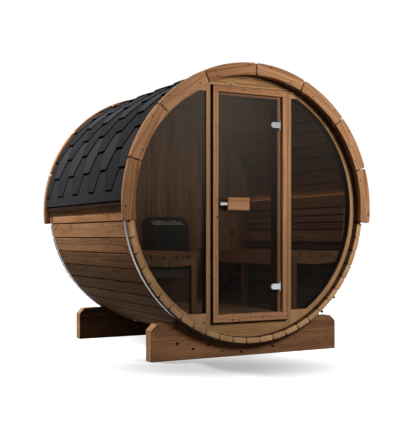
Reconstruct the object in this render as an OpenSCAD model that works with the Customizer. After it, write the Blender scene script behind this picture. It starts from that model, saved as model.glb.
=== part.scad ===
// Barrel sauna with a framed glass front, a hinged glass door, a shingle roof and two cradles.
// Millimetres. X runs to the right, Y runs from the glass front to the back, Z is up.
// The origin is on the ground, under the middle of the barrel.

/* [Barrel] */
// Length of the staves
stave_length = 1760; // [1500:10:2600]
// Radius over the stave corners, outside
barrel_r = 1027; // [900:1:1250]
// Thickness of the staves
stave_thick = 42; // [32:1:50]
// Height of the barrel's underside above the ground
ground_gap = 98; // [80:1:160]

/* [Cradles] */
// Length of each cradle across the barrel
cradle_length = 1620; // [1300:10:1900]
// Height of the cradle's shoulders
cradle_height = 270; // [230:5:340]
// Thickness of each cradle along the barrel
cradle_thick = 94; // [60:1:120]
// Corner cut on the cradle's shoulders
cradle_chamfer = 45; // [10:1:60]
// Distance from the stave ends to the cradle
cradle_inset = 72; // [60:1:260]

/* [Hoops] */
// Width of each steel hoop
hoop_width = 32; // [20:1:40]
// Thickness of the hoop band
hoop_thick = 1.5; // [1:0.5:3]
// Distance from the stave ends to the hoop
hoop_inset = 36; // [15:1:38]
// Position of the hoop tensioner, in degrees up from the barrel's underside
tensioner_angle = 43.3; // [40:0.1:60]
// Distance between the two wing bolts of a tensioner, along the hoop
tensioner_span = 155; // [100:1:200]

/* [Fascia rings] */
// How far the fascia rings stand out beyond the staves
fascia_overhang = 43; // [36:1:60]
// How far the fascia rings reach in past the staves' inner face
fascia_lap = 7; // [2:1:12]
// Thickness of the fascia boards
fascia_thick = 46; // [25:1:60]
// Open joint between two fascia boards
fascia_joint = 4; // [2:1:8]

/* [Roof] */
// Thickness of the shingle roof over the staves
roof_thick = 31; // [10:1:34]
// Height of the eave battens
batten_height = 27; // [20:1:40]
// How far the eave battens reach below the barrel's middle
batten_drop = 10; // [0:1:20]

/* [End walls] */
// Distance from the stave ends to the face of the end walls
wall_recess = 54; // [30:1:90]
// Thickness of the end walls
wall_thick = 45; // [36:1:60]
// Width of the wall posts beside the door
post_width = 46; // [38:1:70]
// Width of the curved window frame
window_frame_width = 35; // [28:1:60]
// Height of the windows' straight lower edge above the barrel's inner bottom
window_sill = 189; // [150:1:260]
// Depth of the windows' straight upper edge below the barrel's inner top
window_head = 137; // [110:1:200]
// Thickness of the window and door glass
glass_thick = 8; // [6:1:12]
// Depth of the window glass behind the wall face
glass_setback = 8; // [4:1:20]

/* [Door frame] */
// Width over the door frame
frame_width = 656; // [560:2:760]
// Height over the door frame
frame_height = 1757; // [1600:1:1780]
// Height of the door frame above the barrel's inner bottom
frame_lift = 119; // [100:1:150]
// Width of the stiles and the head
stile_width = 45; // [38:1:60]
// Height of the threshold
threshold_height = 57; // [40:1:70]
// How far the door frame stands out from the wall
frame_proud = 22; // [10:1:30]
// Width of the stop at the latch side and the head
stop_width = 20; // [15:1:28]
// Width of the stop at the hinge side
hinge_stop_width = 30; // [24:1:34]
// Depth of the stop behind the frame's face
stop_depth = 31; // [28:1:36]

/* [Door] */
// Opening angle shown, from shut to wide open
door_open = 0; // [0:1:95]
// Gap between the door glass and the frame
door_gap = 6; // [5:1:10]
// Gap over the top of the door glass
door_top_gap = 13; // [6:1:18]
// Depth of the door glass behind the frame's face
door_setback = 11; // [8:1:14]
// Distance from the hinge stile to the hinge axis
hinge_offset = 17; // [17:1:22]
// Distance from the hinge axis to the door glass
hinge_reach = 8; // [7:1:12]
// Height of the hinge plates
hinge_height = 72; // [50:1:90]
// Length of the hinge clamps on the glass
clamp_length = 76; // [50:1:100]
// Height of the hinge clamps
clamp_height = 44; // [30:1:48]
// Distance from the top of the glass to the upper hinge
hinge_from_top = 205; // [120:1:300]
// Distance from the bottom of the glass to the lower hinge
hinge_from_bottom = 191; // [120:1:300]
// Length of the door handles
handle_length = 184; // [120:1:240]
// Height of the door handles
handle_height = 95; // [60:1:120]
// Thickness of the door handles
handle_thick = 24; // [18:1:32]
// Gap between the glass and each handle, held by spacers
handle_standoff = 14; // [8:1:25]
// Distance from the latch edge of the glass to the handles
handle_inset = 61; // [50:1:90]
// Height of the handles' middle above the threshold
handle_lift = 824; // [700:1:1000]
// Diameter of the latch roller
latch_d = 30; // [20:1:36]

/* [Cabin] */
// Height of the floor above the barrel's inner bottom
floor_lift = 145; // [110:1:180]
// Thickness of the floor
floor_thick = 28; // [22:1:36]
// Height of the benches above the floor
bench_height = 498; // [400:1:560]
// Width of the aisle between the benches
aisle_width = 784; // [600:2:900]
// How far the board along the bench's edge reaches down from the seat
nosing_height = 115; // [90:1:130]
// Thickness of the board along the bench's edge
nosing_thick = 23; // [18:1:30]
// Thickness of the seat slats
slat_thick = 34; // [24:1:38]
// Number of seat slats on each bench
slat_count = 5; // [4:1:8]
// Gap between two slats
slat_gap = 9; // [6:1:16]
// Depth of the hollow in the seat
seat_hollow = 25; // [0:1:40]
// Thickness of the bench frames along the bench
bearer_thick = 42; // [30:1:60]
// Depth of the curved bearer under the slats
bearer_height = 48; // [40:1:70]
// Width of the bench legs
leg_width = 46; // [36:1:70]
// Gap between the benches and the end walls
bench_end_gap = 12; // [5:1:40]

/* [Backrests] */
// Distance between the two backrests at their lower edges
backrest_width = 1810; // [1700:2:1820]
// Lean of the backrests, in degrees
backrest_lean = 4.4; // [2:0.1:5]
// Height of the lowest backrest board above the bench
backrest_lift = 70; // [60:1:110]
// Height of the lowest backrest board
backrest_low = 96; // [60:1:110]
// Height of the middle backrest boards
backrest_mid = 50; // [40:1:60]
// Height of the top backrest board
backrest_top = 94; // [70:1:110]
// Gap between the backrest boards
backrest_gap = 12; // [6:1:16]
// Thickness of the backrest boards
backrest_thick = 18; // [14:1:20]

/* [Heater] */
// Width of the heater
heater_width = 360; // [280:2:420]
// Depth of the heater from the back wall
heater_depth = 232; // [200:2:300]
// Height of the heater's front edge above the floor
heater_front_z = 716; // [600:1:800]
// Height of the heater's body at its front
heater_height = 404; // [300:1:460]
// How far the heater's ridge rises above its front edge
heater_rise = 74; // [40:1:100]
// Distance from the back wall to the heater's ridge
heater_ridge = 92; // [60:1:120]
// Height of the heater's grey underpart
heater_base_height = 72; // [40:1:100]
// How far the underpart stands in from the heater's sides
heater_base_inset = 38; // [20:1:60]

/* [Hidden] */
// Clearance where one piece seats on another
seat = 0.3;
// Gap between neighbouring boards that lie side by side
board_gap = 0.4;
// Number of staves round the barrel, with one centred underneath
stave_count = 54;
// Number of boards in a fascia ring
fascia_count = 8;
// Staves left bare below the barrel's middle before the fascia ring ends, from the top
fascia_staves = 14.5;
stave_pitch = 360 / stave_count;
stave_inner_r = barrel_r - stave_thick;
// Largest circle that fits inside the staves' flat inner faces
cabin_r = stave_inner_r * cos(stave_pitch / 2);
axis_z = ground_gap + barrel_r;
cabin_floor_z = axis_z - cabin_r;
half_length = stave_length / 2;
insert_r = cabin_r - seat;
shell_r = barrel_r + seat;
hoop_outer_r = shell_r + hoop_thick;
// The roof and its battens lie over the hoops
roof_inner_r = hoop_outer_r + seat;
fascia_inner_r = stave_inner_r - fascia_lap;
fascia_outer_r = barrel_r + fascia_overhang;
fascia_pitch = 2 * fascia_staves * stave_pitch / fascia_count;
wall_face_y = -half_length + wall_recess;
wall_inner_y = wall_face_y + wall_thick;
frame_face_y = wall_face_y - frame_proud;
frame_half = frame_width / 2;
frame_z = cabin_floor_z + frame_lift;
post_inner_x = frame_half + seat;
post_outer_x = post_inner_x + post_width;
window_inner_r = insert_r - window_frame_width;
window_low_z = cabin_floor_z + window_sill;
window_high_z = axis_z + cabin_r - window_head;
stile_inner_x = frame_half - stile_width;
threshold_top_z = frame_z + threshold_height;
head_low_z = frame_z + frame_height - stile_width;
stop_y = frame_face_y + stop_depth;
glass_y = frame_face_y + door_setback;
glass_mid_y = glass_y + glass_thick / 2;
hinge_x = stile_inner_x - hinge_offset;
glass_right_x = hinge_x - hinge_reach;
glass_left_x = -stile_inner_x + door_gap;
glass_low_z = threshold_top_z + door_gap;
glass_high_z = head_low_z - door_top_gap;
hinge_levels = [glass_low_z + hinge_from_bottom, glass_high_z - hinge_from_top];
// Thickness of each metal cheek of a hinge clamp
clamp_cheek = 5;
// Diameter of the hinge knuckles
knuckle_d = 10;
// Thickness of the hinge plate that is screwed to the stop
hinge_plate = 5;
handle_left_x = glass_left_x + handle_inset;
handle_z = threshold_top_z + handle_lift;
// Diameter of the spacers between a handle and the glass
spacer_d = 20;
// Distance of the spacers from the handle's ends
spacer_inset = 36;
floor_z = cabin_floor_z + floor_lift;
floor_under_z = floor_z - floor_thick;
bench_z = floor_z + bench_height;
aisle_half = aisle_width / 2;
bench_start_y = wall_inner_y + bench_end_gap;
bench_end_y = -bench_start_y;
bench_frames = 3;
// Gap between the board along the bench's edge and the legs behind it
nosing_gap = 6;
backrest_half = backrest_width / 2;
backrest_z = bench_z + backrest_lift;
// Number of narrow boards in a backrest
backrest_mids = 3;
// Thickness of a backrest support behind its boards
support_depth = 18;
// Height of the support's upper block, which reaches the staves
support_block = 60;
// Thickness of the heater's steel shell, and the depth of its stone tray
heater_shell = 3;
heater_tray = 110;
heater_back_y = -wall_inner_y - seat;

// ---- shapes that repeat ----

// Turns a flat outline in X and Z into a piece that runs along Y from y0 to y1.
module along_y(y0, y1) {
    translate([0, y1, axis_z])
        rotate([90, 0, 0])
            linear_extrude(y1 - y0)
                children();
}

// A point on a circle round the barrel's middle, with the angle counted from straight up.
function round_point(r, angle) = [r * sin(angle), r * cos(angle)];

// Flat wedge from the barrel's middle, between two angles under 60 degrees apart.
module wedge(from, to, r) {
    reach = r / cos((to - from) / 2) + 10;
    polygon([[0, 0], round_point(reach, from), round_point(reach, to)]);
}

// Curved board between two radii and two angles, with its end joints cut back by a gap.
module curved_board(inner, outer, from, to, gap) {
    trim = gap / 2 / inner * 180 / PI;
    intersection() {
        difference() {
            circle(outer, $fn = 144);
            circle(inner, $fn = 144);
        }
        wedge(from + trim, to - trim, outer);
    }
}

// One stave, with its middle at an angle from straight up.
module stave(angle) {
    half = stave_pitch / 2;
    outer_trim = board_gap / 2 / barrel_r * 180 / PI;
    inner_trim = board_gap / 2 / stave_inner_r * 180 / PI;
    along_y(-half_length, half_length)
        polygon([
            round_point(barrel_r, angle - half + outer_trim),
            round_point(barrel_r, angle + half - outer_trim),
            round_point(stave_inner_r, angle + half - inner_trim),
            round_point(stave_inner_r, angle - half + inner_trim)
        ]);
}

// Staves numbered from the one underneath, which is 0, up the right side.
module staves(first, last) {
    color("peru")
        for (i = [first : last])
            stave(180 - i * stave_pitch);
}

// Mirrors a piece to the other side of the barrel.
module other_side() {
    mirror([1, 0, 0]) children();
}

// ---- cradles, hoops, fascia and roof ----

module cradle(face_y) {
    half = cradle_length / 2;
    side_z = cradle_height - cradle_chamfer;
    color("sienna")
        along_y(face_y, face_y + cradle_thick)
            difference() {
                translate([0, -axis_z])
                    polygon([
                        [-half, 0], [half, 0], [half, side_z],
                        [half - cradle_chamfer, cradle_height],
                        [cradle_chamfer - half, cradle_height], [-half, side_z]
                    ]);
                circle(shell_r, $fn = 144);
            }
}

module cradle_front() {
    cradle(cradle_inset - half_length);
}

module cradle_back() {
    cradle(half_length - cradle_inset - cradle_thick);
}

module hoop(start_y) {
    along_y(start_y, start_y + hoop_width)
        difference() {
            circle(hoop_outer_r, $fn = 144);
            circle(shell_r, $fn = 144);
        }
}

module hoops() {
    color("silver") {
        hoop(hoop_inset - half_length);
        hoop(half_length - hoop_inset - hoop_width);
    }
}

// Two bolts on one hoop at mid_y, and the threaded rod that runs through both.
module tensioner(mid_y) {
    half_turn = tensioner_span / 2 / barrel_r * 180 / PI;
    foot_r = hoop_outer_r + seat;
    bolt_d = 12;
    rod_d = 8;
    rod_r = foot_r + 20;
    half_rod = rod_r * sin(half_turn) + bolt_d / 2;
    for (side = [-1, 1])
        translate([0, mid_y, axis_z])
            rotate([0, 180 - tensioner_angle + side * half_turn, 0])
                translate([0, 0, foot_r])
                    cylinder(h = 38, d = bolt_d, $fn = 24);
    translate([0, mid_y, axis_z])
        rotate([0, 180 - tensioner_angle, 0])
            translate([0, 0, rod_r * cos(half_turn)])
                rotate([0, 90, 0])
                    cylinder(h = 2 * half_rod, d = rod_d, center = true, $fn = 24);
}

module hoop_tensioners() {
    middle = hoop_inset + hoop_width / 2;
    color("dimgray") {
        tensioner(middle - half_length);
        tensioner(half_length - middle);
    }
}

module fascia(start_y) {
    first = -fascia_pitch * fascia_count / 2;
    color("peru")
        along_y(start_y, start_y + fascia_thick)
            for (i = [0 : fascia_count - 1])
                curved_board(
                    fascia_inner_r, fascia_outer_r,
                    first + i * fascia_pitch, first + (i + 1) * fascia_pitch, fascia_joint
                );
}

module fascia_front() {
    fascia(-half_length - fascia_thick);
}

module fascia_back() {
    fascia(half_length);
}

// The roof ends on the battens, so its angle follows from their height above the middle.
module roof_shingles() {
    eave = 90 - asin((batten_height - batten_drop) / barrel_r);
    strips = 8;
    pitch = 2 * eave / strips;
    color("darkslategray")
        along_y(-half_length, half_length)
            for (i = [0 : strips - 1])
                curved_board(
                    roof_inner_r, barrel_r + roof_thick,
                    i * pitch - eave, (i + 1) * pitch - eave, board_gap
                );
}

module eave_batten() {
    along_y(-half_length, half_length)
        difference() {
            translate([barrel_r / 2, -batten_drop])
                square([barrel_r / 2 + roof_thick - 2, batten_height - seat]);
            circle(roof_inner_r, $fn = 144);
        }
}

module eave_battens() {
    color("saddlebrown") {
        eave_batten();
        other_side() eave_batten();
    }
}

// ---- end walls, windows and floor ----

// Everything inside the staves, with the clearance to them.
module inside_circle() {
    circle(insert_r, $fn = 144);
}

module wall_piece() {
    along_y(wall_face_y, wall_inner_y)
        intersection() {
            inside_circle();
            children();
        }
}

module wall_post_right() {
    color("peru")
        wall_piece()
            translate([post_inner_x, -barrel_r])
                square([post_width, 2 * barrel_r]);
}

module wall_post_left() {
    other_side() wall_post_right();
}

module wall_head_panel() {
    width = 2 * (post_inner_x - board_gap);
    low = frame_z + frame_height + seat - axis_z;
    color("peru")
        wall_piece()
            translate([-width / 2, low])
                square([width, barrel_r]);
}

module wall_sill_panel() {
    width = 2 * (post_inner_x - board_gap);
    high = frame_z - seat - axis_z;
    color("peru")
        wall_piece()
            translate([-width / 2, high - barrel_r])
                square([width, barrel_r]);
}

// Window opening: the part of a circle beside the post, between the two straight edges.
module window_outline(r, side_gap) {
    low = window_low_z - axis_z + side_gap;
    high = window_high_z - axis_z - side_gap;
    intersection() {
        circle(r - side_gap, $fn = 144);
        translate([post_outer_x + board_gap + side_gap, low])
            square([barrel_r, high - low]);
    }
}

module window_frame_right() {
    color("peru")
        wall_piece()
            difference() {
                translate([post_outer_x + board_gap, -barrel_r])
                    square([barrel_r, 2 * barrel_r]);
                window_outline(window_inner_r, 0);
            }
}

module window_frame_left() {
    other_side() window_frame_right();
}

module window_glass_right() {
    front = wall_face_y + glass_setback;
    color("darkslategray")
        along_y(front, front + glass_thick)
            window_outline(window_inner_r, seat);
}

module window_glass_left() {
    other_side() window_glass_right();
}

module back_wall() {
    color("peru")
        along_y(-wall_inner_y, -wall_face_y)
            inside_circle();
}

// The floor is a chord that rests on the staves along both edges.
module floor() {
    half = sqrt(insert_r * insert_r - pow(axis_z - floor_under_z, 2));
    color("burlywood")
        translate([-half, wall_inner_y + seat, floor_under_z])
            cube([2 * half, -2 * wall_inner_y - 2 * seat, floor_thick]);
}

// ---- door frame ----

module frame_stile(stop) {
    height = head_low_z - threshold_top_z - 2 * seat;
    deep = wall_inner_y - frame_face_y;
    translate([stile_inner_x, frame_face_y, threshold_top_z + seat])
        cube([stile_width, deep, height]);
    translate([stile_inner_x - stop, stop_y, threshold_top_z + seat])
        cube([stop + 1, wall_inner_y - stop_y, height]);
}

module door_frame_hinge_stile() {
    color("peru") frame_stile(hinge_stop_width);
}

module door_frame_latch_stile() {
    color("peru") other_side() frame_stile(stop_width);
}

module door_frame_head() {
    stop_half = stile_inner_x - hinge_stop_width - seat;
    latch_side = stile_inner_x - stop_width - seat;
    color("peru") {
        translate([-frame_half, frame_face_y, head_low_z])
            cube([frame_width, wall_inner_y - frame_face_y, stile_width]);
        translate([-latch_side, stop_y, head_low_z - stop_width])
            cube([latch_side + stop_half, wall_inner_y - stop_y, stop_width + 1]);
    }
}

module door_threshold() {
    color("peru")
        translate([-frame_half, frame_face_y, frame_z])
            cube([frame_width, wall_inner_y - frame_face_y, threshold_height]);
}

// ---- hinges and door ----

// Plate on the stop with the two outer knuckles, at the height of one hinge.
module hinge_plate_at(z) {
    plate_left = hinge_x - knuckle_d / 2;
    arm = 12;
    translate([plate_left, stop_y - hinge_plate, z - hinge_height / 2])
        cube([stile_inner_x - seat - plate_left, hinge_plate - seat, hinge_height]);
    for (low = [z - hinge_height / 2, z + hinge_height / 2 - arm])
        translate([0, 0, low]) {
            translate([hinge_x, glass_mid_y, 0])
                cylinder(h = arm, d = knuckle_d, $fn = 32);
            translate([plate_left, glass_mid_y, 0])
                cube([knuckle_d, stop_y - hinge_plate + 1 - glass_mid_y, arm]);
        }
}

module hinge_plates() {
    color("silver")
        for (z = hinge_levels)
            hinge_plate_at(z);
}

// Everything below turns with the door, about the hinge axis.
module on_door() {
    translate([hinge_x, glass_mid_y, 0])
        rotate([0, 0, door_open])
            translate([-hinge_x, -glass_mid_y, 0])
                children();
}

module door_glass() {
    color("darkslategray")
        on_door()
            translate([glass_left_x, glass_y, glass_low_z])
                cube([glass_right_x - glass_left_x, glass_thick, glass_high_z - glass_low_z]);
}

// Clamp with a rounded end, held on both faces of the glass and joined past its edge.
module hinge_clamp_at(z) {
    end_r = clamp_height / 2;
    inner_x = glass_right_x - clamp_length + end_r;
    core = hinge_height - 2 * 12 - 2 * seat;
    for (y = [glass_y - clamp_cheek - seat, glass_y + glass_thick + seat])
        translate([0, y + clamp_cheek, z])
            rotate([90, 0, 0])
                linear_extrude(clamp_cheek)
                    union() {
                        translate([inner_x, 0]) circle(end_r, $fn = 48);
                        translate([inner_x, -end_r])
                            square([glass_right_x + 4 - inner_x, clamp_height]);
                    }
    translate([glass_right_x + seat, glass_y - clamp_cheek - seat, z - clamp_height / 2])
        cube([
            hinge_reach - seat, glass_thick + 2 * clamp_cheek + 2 * seat, clamp_height
        ]);
    translate([hinge_x, glass_mid_y, z - core / 2])
        cylinder(h = core, d = knuckle_d, $fn = 32);
}

module door_hinge_clamps() {
    color("silver")
        on_door()
            for (z = hinge_levels)
                hinge_clamp_at(z);
}

// Handle block on two spacers; outward is -1 for the outer face and 1 for the inner one.
module handle(face_y, outward) {
    mid_x = handle_left_x + handle_length / 2;
    block_y = face_y + outward * (seat + handle_standoff + handle_thick / 2);
    translate([mid_x, block_y, handle_z])
        cube([handle_length, handle_thick, handle_height], center = true);
    for (x = [handle_left_x + spacer_inset, handle_left_x + handle_length - spacer_inset])
        translate([x, face_y + outward * (seat + (handle_standoff + 1) / 2), handle_z])
            rotate([90, 0, 0])
                cylinder(h = handle_standoff + 1, d = spacer_d, center = true, $fn = 32);
}

module door_handles() {
    color("sandybrown")
        on_door() {
            handle(glass_y, -1);
            handle(glass_y + glass_thick, 1);
        }
}

// Roller beside the outer handle, on a small foot that is fixed to the glass.
module door_latch() {
    left = glass_left_x + seat;
    length = handle_inset - 2 * seat;
    foot = 4;
    roller_y = glass_y - seat - foot - latch_d / 2;
    color("silver")
        on_door() {
            translate([left, roller_y, handle_z])
                rotate([0, 90, 0])
                    cylinder(h = length, d = latch_d, $fn = 48);
            translate([left, roller_y, handle_z - latch_d / 3])
                cube([length, glass_y - seat - roller_y, 2 * latch_d / 3]);
        }
}

// ---- benches, backrests and heater ----

// Half-width of the cabin at a height above the ground.
function cabin_half(z) = sqrt(insert_r * insert_r - pow(z - axis_z, 2));

seat_start_x = aisle_half;
seat_end_x = cabin_half(bench_z - seat_hollow - slat_thick) - slat_gap;
seat_span = seat_end_x - seat_start_x;
slat_pitch = (seat_span + slat_gap) / slat_count;

// Height of the seat at a place across the bench: a parabola between its two edges.
function seat_z(x) =
    bench_z - seat_hollow * (1 - pow(2 * (x - seat_start_x) / seat_span - 1, 2));

// Both edges of one slat across the bench.
function slat_edges(i) = [
    seat_start_x + i * slat_pitch,
    seat_start_x + (i + 1) * slat_pitch - slat_gap
];

// Outline of the seat's slats a given depth below their top, as one broken line.
function under_seat(drop) = [
    for (i = [0 : slat_count - 1])
        for (x = slat_edges(i))
            [x, seat_z(x) - drop - axis_z]
];

function reversed(points) = [
    for (i = [1 : len(points)])
        points[len(points) - i]
];

// Everything across the bench beyond a place, as a flat area.
module beyond(x) {
    translate([x, -barrel_r]) square([barrel_r, 2 * barrel_r]);
}

// The seat's slats, with the board that hangs under the first one along the aisle.
module bench_right() {
    nosing_low = bench_z - nosing_height - axis_z;
    color("peru")
        along_y(bench_start_y, bench_end_y) {
            for (i = [0 : slat_count - 1]) {
                edges = slat_edges(i);
                polygon([
                    for (x = edges) [x, seat_z(x) - axis_z],
                    for (x = reversed(edges)) [x, seat_z(x) - slat_thick - axis_z]
                ]);
            }
            intersection() {
                polygon(concat(
                    under_seat(slat_thick + seat),
                    [[seat_end_x, nosing_low], [seat_start_x, nosing_low]]
                ));
                translate([seat_start_x, nosing_low])
                    square([nosing_thick, nosing_height]);
            }
        }
}

module bench_left() {
    other_side() bench_right();
}

// One bench frame: a bearer that follows the slats, on a leg that stands on the floor.
module bench_frame(start_y) {
    leg_x = seat_start_x + nosing_thick + nosing_gap;
    under = slat_thick + seat;
    along_y(start_y, start_y + bearer_thick) {
        intersection() {
            inside_circle();
            beyond(leg_x);
            polygon(concat(
                under_seat(under),
                [[barrel_r, seat_z(seat_end_x) - under - axis_z]],
                [[barrel_r, seat_z(seat_end_x) - under - bearer_height - axis_z]],
                reversed(under_seat(under + bearer_height))
            ));
        }
        translate([leg_x, floor_z + seat - axis_z])
            square([leg_width, seat_z(leg_x + leg_width) - under - 8 - floor_z - seat]);
    }
}

// Where the bench frames and the backrest supports stand along the cabin.
frame_step = (bench_end_y - bench_start_y - bearer_thick) / (bench_frames - 1);
frame_starts = [
    for (i = [0 : bench_frames - 1])
        bench_start_y + i * frame_step
];

module bench_frames_right() {
    color("sienna")
        for (y = frame_starts)
            bench_frame(y);
}

module bench_frames_left() {
    other_side() bench_frames_right();
}

// Lower edge and height of each backrest board along the lean, from the lowest up.
mid_pitch = backrest_mid + backrest_gap;
backrest_boards = [
    [0, backrest_low],
    for (i = [0 : backrest_mids - 1])
        [backrest_low + backrest_gap + i * mid_pitch, backrest_mid],
    [backrest_low + backrest_gap + backrest_mids * mid_pitch, backrest_top]
];
backrest_height = backrest_low + backrest_gap + backrest_mids * mid_pitch + backrest_top;

// Puts flat pieces on the leaning line of the right backrest, up from its lower edge.
module on_backrest() {
    translate([backrest_half, backrest_z - axis_z])
        rotate(-backrest_lean)
            children();
}

// Boards on supports that touch the staves with a block behind the top board.
module backrest_right() {
    back = backrest_thick + seat;
    color("peru") {
        along_y(bench_start_y, bench_end_y)
            on_backrest()
                for (board = backrest_boards)
                    translate([0, board[0]])
                        square([backrest_thick, board[1]]);
        for (y = frame_starts)
            along_y(y, y + bearer_thick)
                intersection() {
                    inside_circle();
                    on_backrest() {
                        translate([back, backrest_gap])
                            square([support_depth, backrest_height - 4 * backrest_gap]);
                        translate([back, backrest_height - 4 * backrest_gap - support_block])
                            square([barrel_r, support_block]);
                    }
                }
    }
}

module backrest_left() {
    other_side() backrest_right();
}

// Light strip behind the top backrest board, which hides it from the cabin.
module light_strip() {
    size = 12;
    along_y(bench_start_y, bench_end_y)
        intersection() {
            inside_circle();
            on_backrest()
                translate([backrest_thick + seat, backrest_height - 2 * size])
                    square([size, size]);
        }
}

module light_strips() {
    color("moccasin") {
        light_strip();
        other_side() light_strip();
    }
}

heater_front_y = heater_back_y - heater_depth;
heater_rim_z = floor_z + heater_front_z;
heater_low_z = heater_rim_z - heater_height;

// Grey underpart that hangs below the heater's body, against the back wall.
module heater_base() {
    color("gray")
        translate([
            heater_base_inset - heater_width / 2, heater_front_y + heater_base_inset,
            heater_low_z - heater_base_height
        ])
            cube([
                heater_width - 2 * heater_base_inset, heater_depth - heater_base_inset,
                heater_base_height - seat
            ]);
}

// Turns a side outline in Y and Z into a piece of the heater, of a given width.
module heater_side(width) {
    rotate([90, 0, 90])
        linear_extrude(width, center = true)
            children();
}

// Side outline of the heater: the top rises to a ridge and falls towards the wall.
module heater_body() {
    ridge_y = heater_back_y - heater_ridge;
    ridge_z = heater_rim_z + heater_rise;
    color("black")
        difference() {
            heater_side(heater_width)
                polygon([
                    [heater_front_y, heater_low_z], [heater_back_y, heater_low_z],
                    [heater_back_y, ridge_z - heater_rise / 2], [ridge_y, ridge_z],
                    [heater_front_y, heater_rim_z]
                ]);
            heater_side(heater_width - 2 * heater_shell)
                polygon([
                    [heater_front_y + heater_shell, heater_rim_z - heater_tray],
                    [ridge_y, heater_rim_z - heater_tray],
                    [ridge_y, ridge_z + 1],
                    [heater_front_y + heater_shell, ridge_z + 1]
                ]);
        }
}

// Heap of stones in the tray, under the line from the front edge to the ridge.
module heater_stones() {
    inset = heater_shell + seat;
    front = heater_front_y + inset;
    back = heater_back_y - heater_ridge - seat;
    low = heater_rim_z - heater_tray + seat;
    color("slategray")
        heater_side(heater_width - 2 * inset)
            polygon([
                [front, low], [back, low],
                [back, heater_rim_z + heater_rise - 30],
                [(front + back) / 2, heater_rim_z + heater_rise / 2],
                [front, heater_rim_z - 6]
            ]);
}

cradle_front();
cradle_back();
staves(-4, 4);  // staves_bottom
staves(-11, -5);  // staves_lower_left
staves(5, 11);  // staves_lower_right
staves(-18, -12);  // staves_side_left
staves(12, 18);  // staves_side_right
staves(-24, -19);  // staves_upper_left
staves(19, 24);  // staves_upper_right
staves(25, 29);  // staves_top
hoops();
hoop_tensioners();
fascia_front();
fascia_back();
roof_shingles();
eave_battens();
wall_post_left();
wall_post_right();
wall_head_panel();
wall_sill_panel();
window_frame_left();
window_frame_right();
window_glass_left();
window_glass_right();
back_wall();
floor();
door_frame_latch_stile();
door_frame_hinge_stile();
door_frame_head();
door_threshold();
hinge_plates();
door_glass();
door_hinge_clamps();
door_handles();
door_latch();
bench_left();
bench_right();
bench_frames_left();
bench_frames_right();
backrest_left();
backrest_right();
light_strips();
heater_body();
heater_base();
heater_stones();
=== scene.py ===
# %% [markdown]
# A barrel sauna: 54 staves held by two steel hoops, a shingle roof, a glazed front with a glass door,
# and benches, backrests and a stone heater inside. The frame comes from the packed CAD model, in metres,
# with +Z up, the front facing -Y and the origin on the ground under the barrel. Each step below either
# gives a CAD node a finish, or replaces it by a piece with the same size and more detail.

# %% The frame
from collections import namedtuple

import bmesh
import bpy
import numpy as np
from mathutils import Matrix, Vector


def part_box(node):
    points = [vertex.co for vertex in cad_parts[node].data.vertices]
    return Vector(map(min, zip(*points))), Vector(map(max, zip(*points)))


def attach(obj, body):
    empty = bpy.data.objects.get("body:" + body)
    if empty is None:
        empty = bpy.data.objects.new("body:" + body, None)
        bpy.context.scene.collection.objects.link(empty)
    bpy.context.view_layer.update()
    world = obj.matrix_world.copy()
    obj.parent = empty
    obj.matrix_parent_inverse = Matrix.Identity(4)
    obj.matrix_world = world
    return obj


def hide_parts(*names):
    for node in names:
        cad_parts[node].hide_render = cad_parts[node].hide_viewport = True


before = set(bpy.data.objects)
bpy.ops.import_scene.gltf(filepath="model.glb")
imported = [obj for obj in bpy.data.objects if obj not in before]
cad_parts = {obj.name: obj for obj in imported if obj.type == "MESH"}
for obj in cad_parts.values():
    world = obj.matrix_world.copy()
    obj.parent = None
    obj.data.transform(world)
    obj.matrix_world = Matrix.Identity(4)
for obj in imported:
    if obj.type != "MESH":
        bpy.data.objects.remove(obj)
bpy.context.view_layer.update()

# %% [markdown]
# Every place comes from the frame. On a real barrel the staves, the roof and the trim boards share one
# axis, so it is easiest to measure each node by its angle round that axis and its distance from it.
# The end walls are discs, so the middle of the back wall's box lies on the axis.

# %% Measuring the frame
MM = 0.001


def values_of(items, title, width, kind=float):
    """A property of a mesh's vertices, edges or faces, as rows of width numbers."""
    flat = np.empty(len(items) * width, kind)
    items.foreach_get(title, flat)
    return flat.reshape(-1, width)


def corner_points(node):
    """The node's corner points as rows of X, Y and Z."""
    return values_of(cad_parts[node].data.vertices, "co", 3)


def box_of(node):
    """The node's lowest and highest corner, as arrays."""
    return tuple(np.array(corner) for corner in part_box(node))


wall_low, wall_high = box_of("back_wall")
axis_z = (wall_low[2] + wall_high[2]) / 2
AXIS = (0, 0, axis_z)


def round_barrel(points, middle=0.0):
    """Angle from straight up (positive to the right, counted from middle) and distance from the axis."""
    across, up = points[:, 0], points[:, 2] - axis_z
    angle = np.arctan2(across, up) - middle
    return (angle + np.pi) % (2 * np.pi) - np.pi, np.hypot(across, up)


def span_of(node, middle=0.0):
    """First and last angle, and least and greatest distance from the axis, of a node."""
    angle, radius = round_barrel(corner_points(node), middle)
    return angle.min(), angle.max(), radius.min(), radius.max()


barrel_radius = span_of("staves_bottom", np.pi)[3]
cabin_radius = (wall_high[2] - wall_low[2]) / 2
print(f"axis {axis_z:.4f}, barrel radius {barrel_radius:.4f}, cabin radius {cabin_radius:.4f}")

# %% [markdown]
# Almost every piece here is a board: one outline that is carried along a straight path. Sawn and planed
# boards have eased edges, never knife edges, so the outline's corners are short curves. An outline is an
# array of points in two numbers, counter-clockwise.

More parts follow.
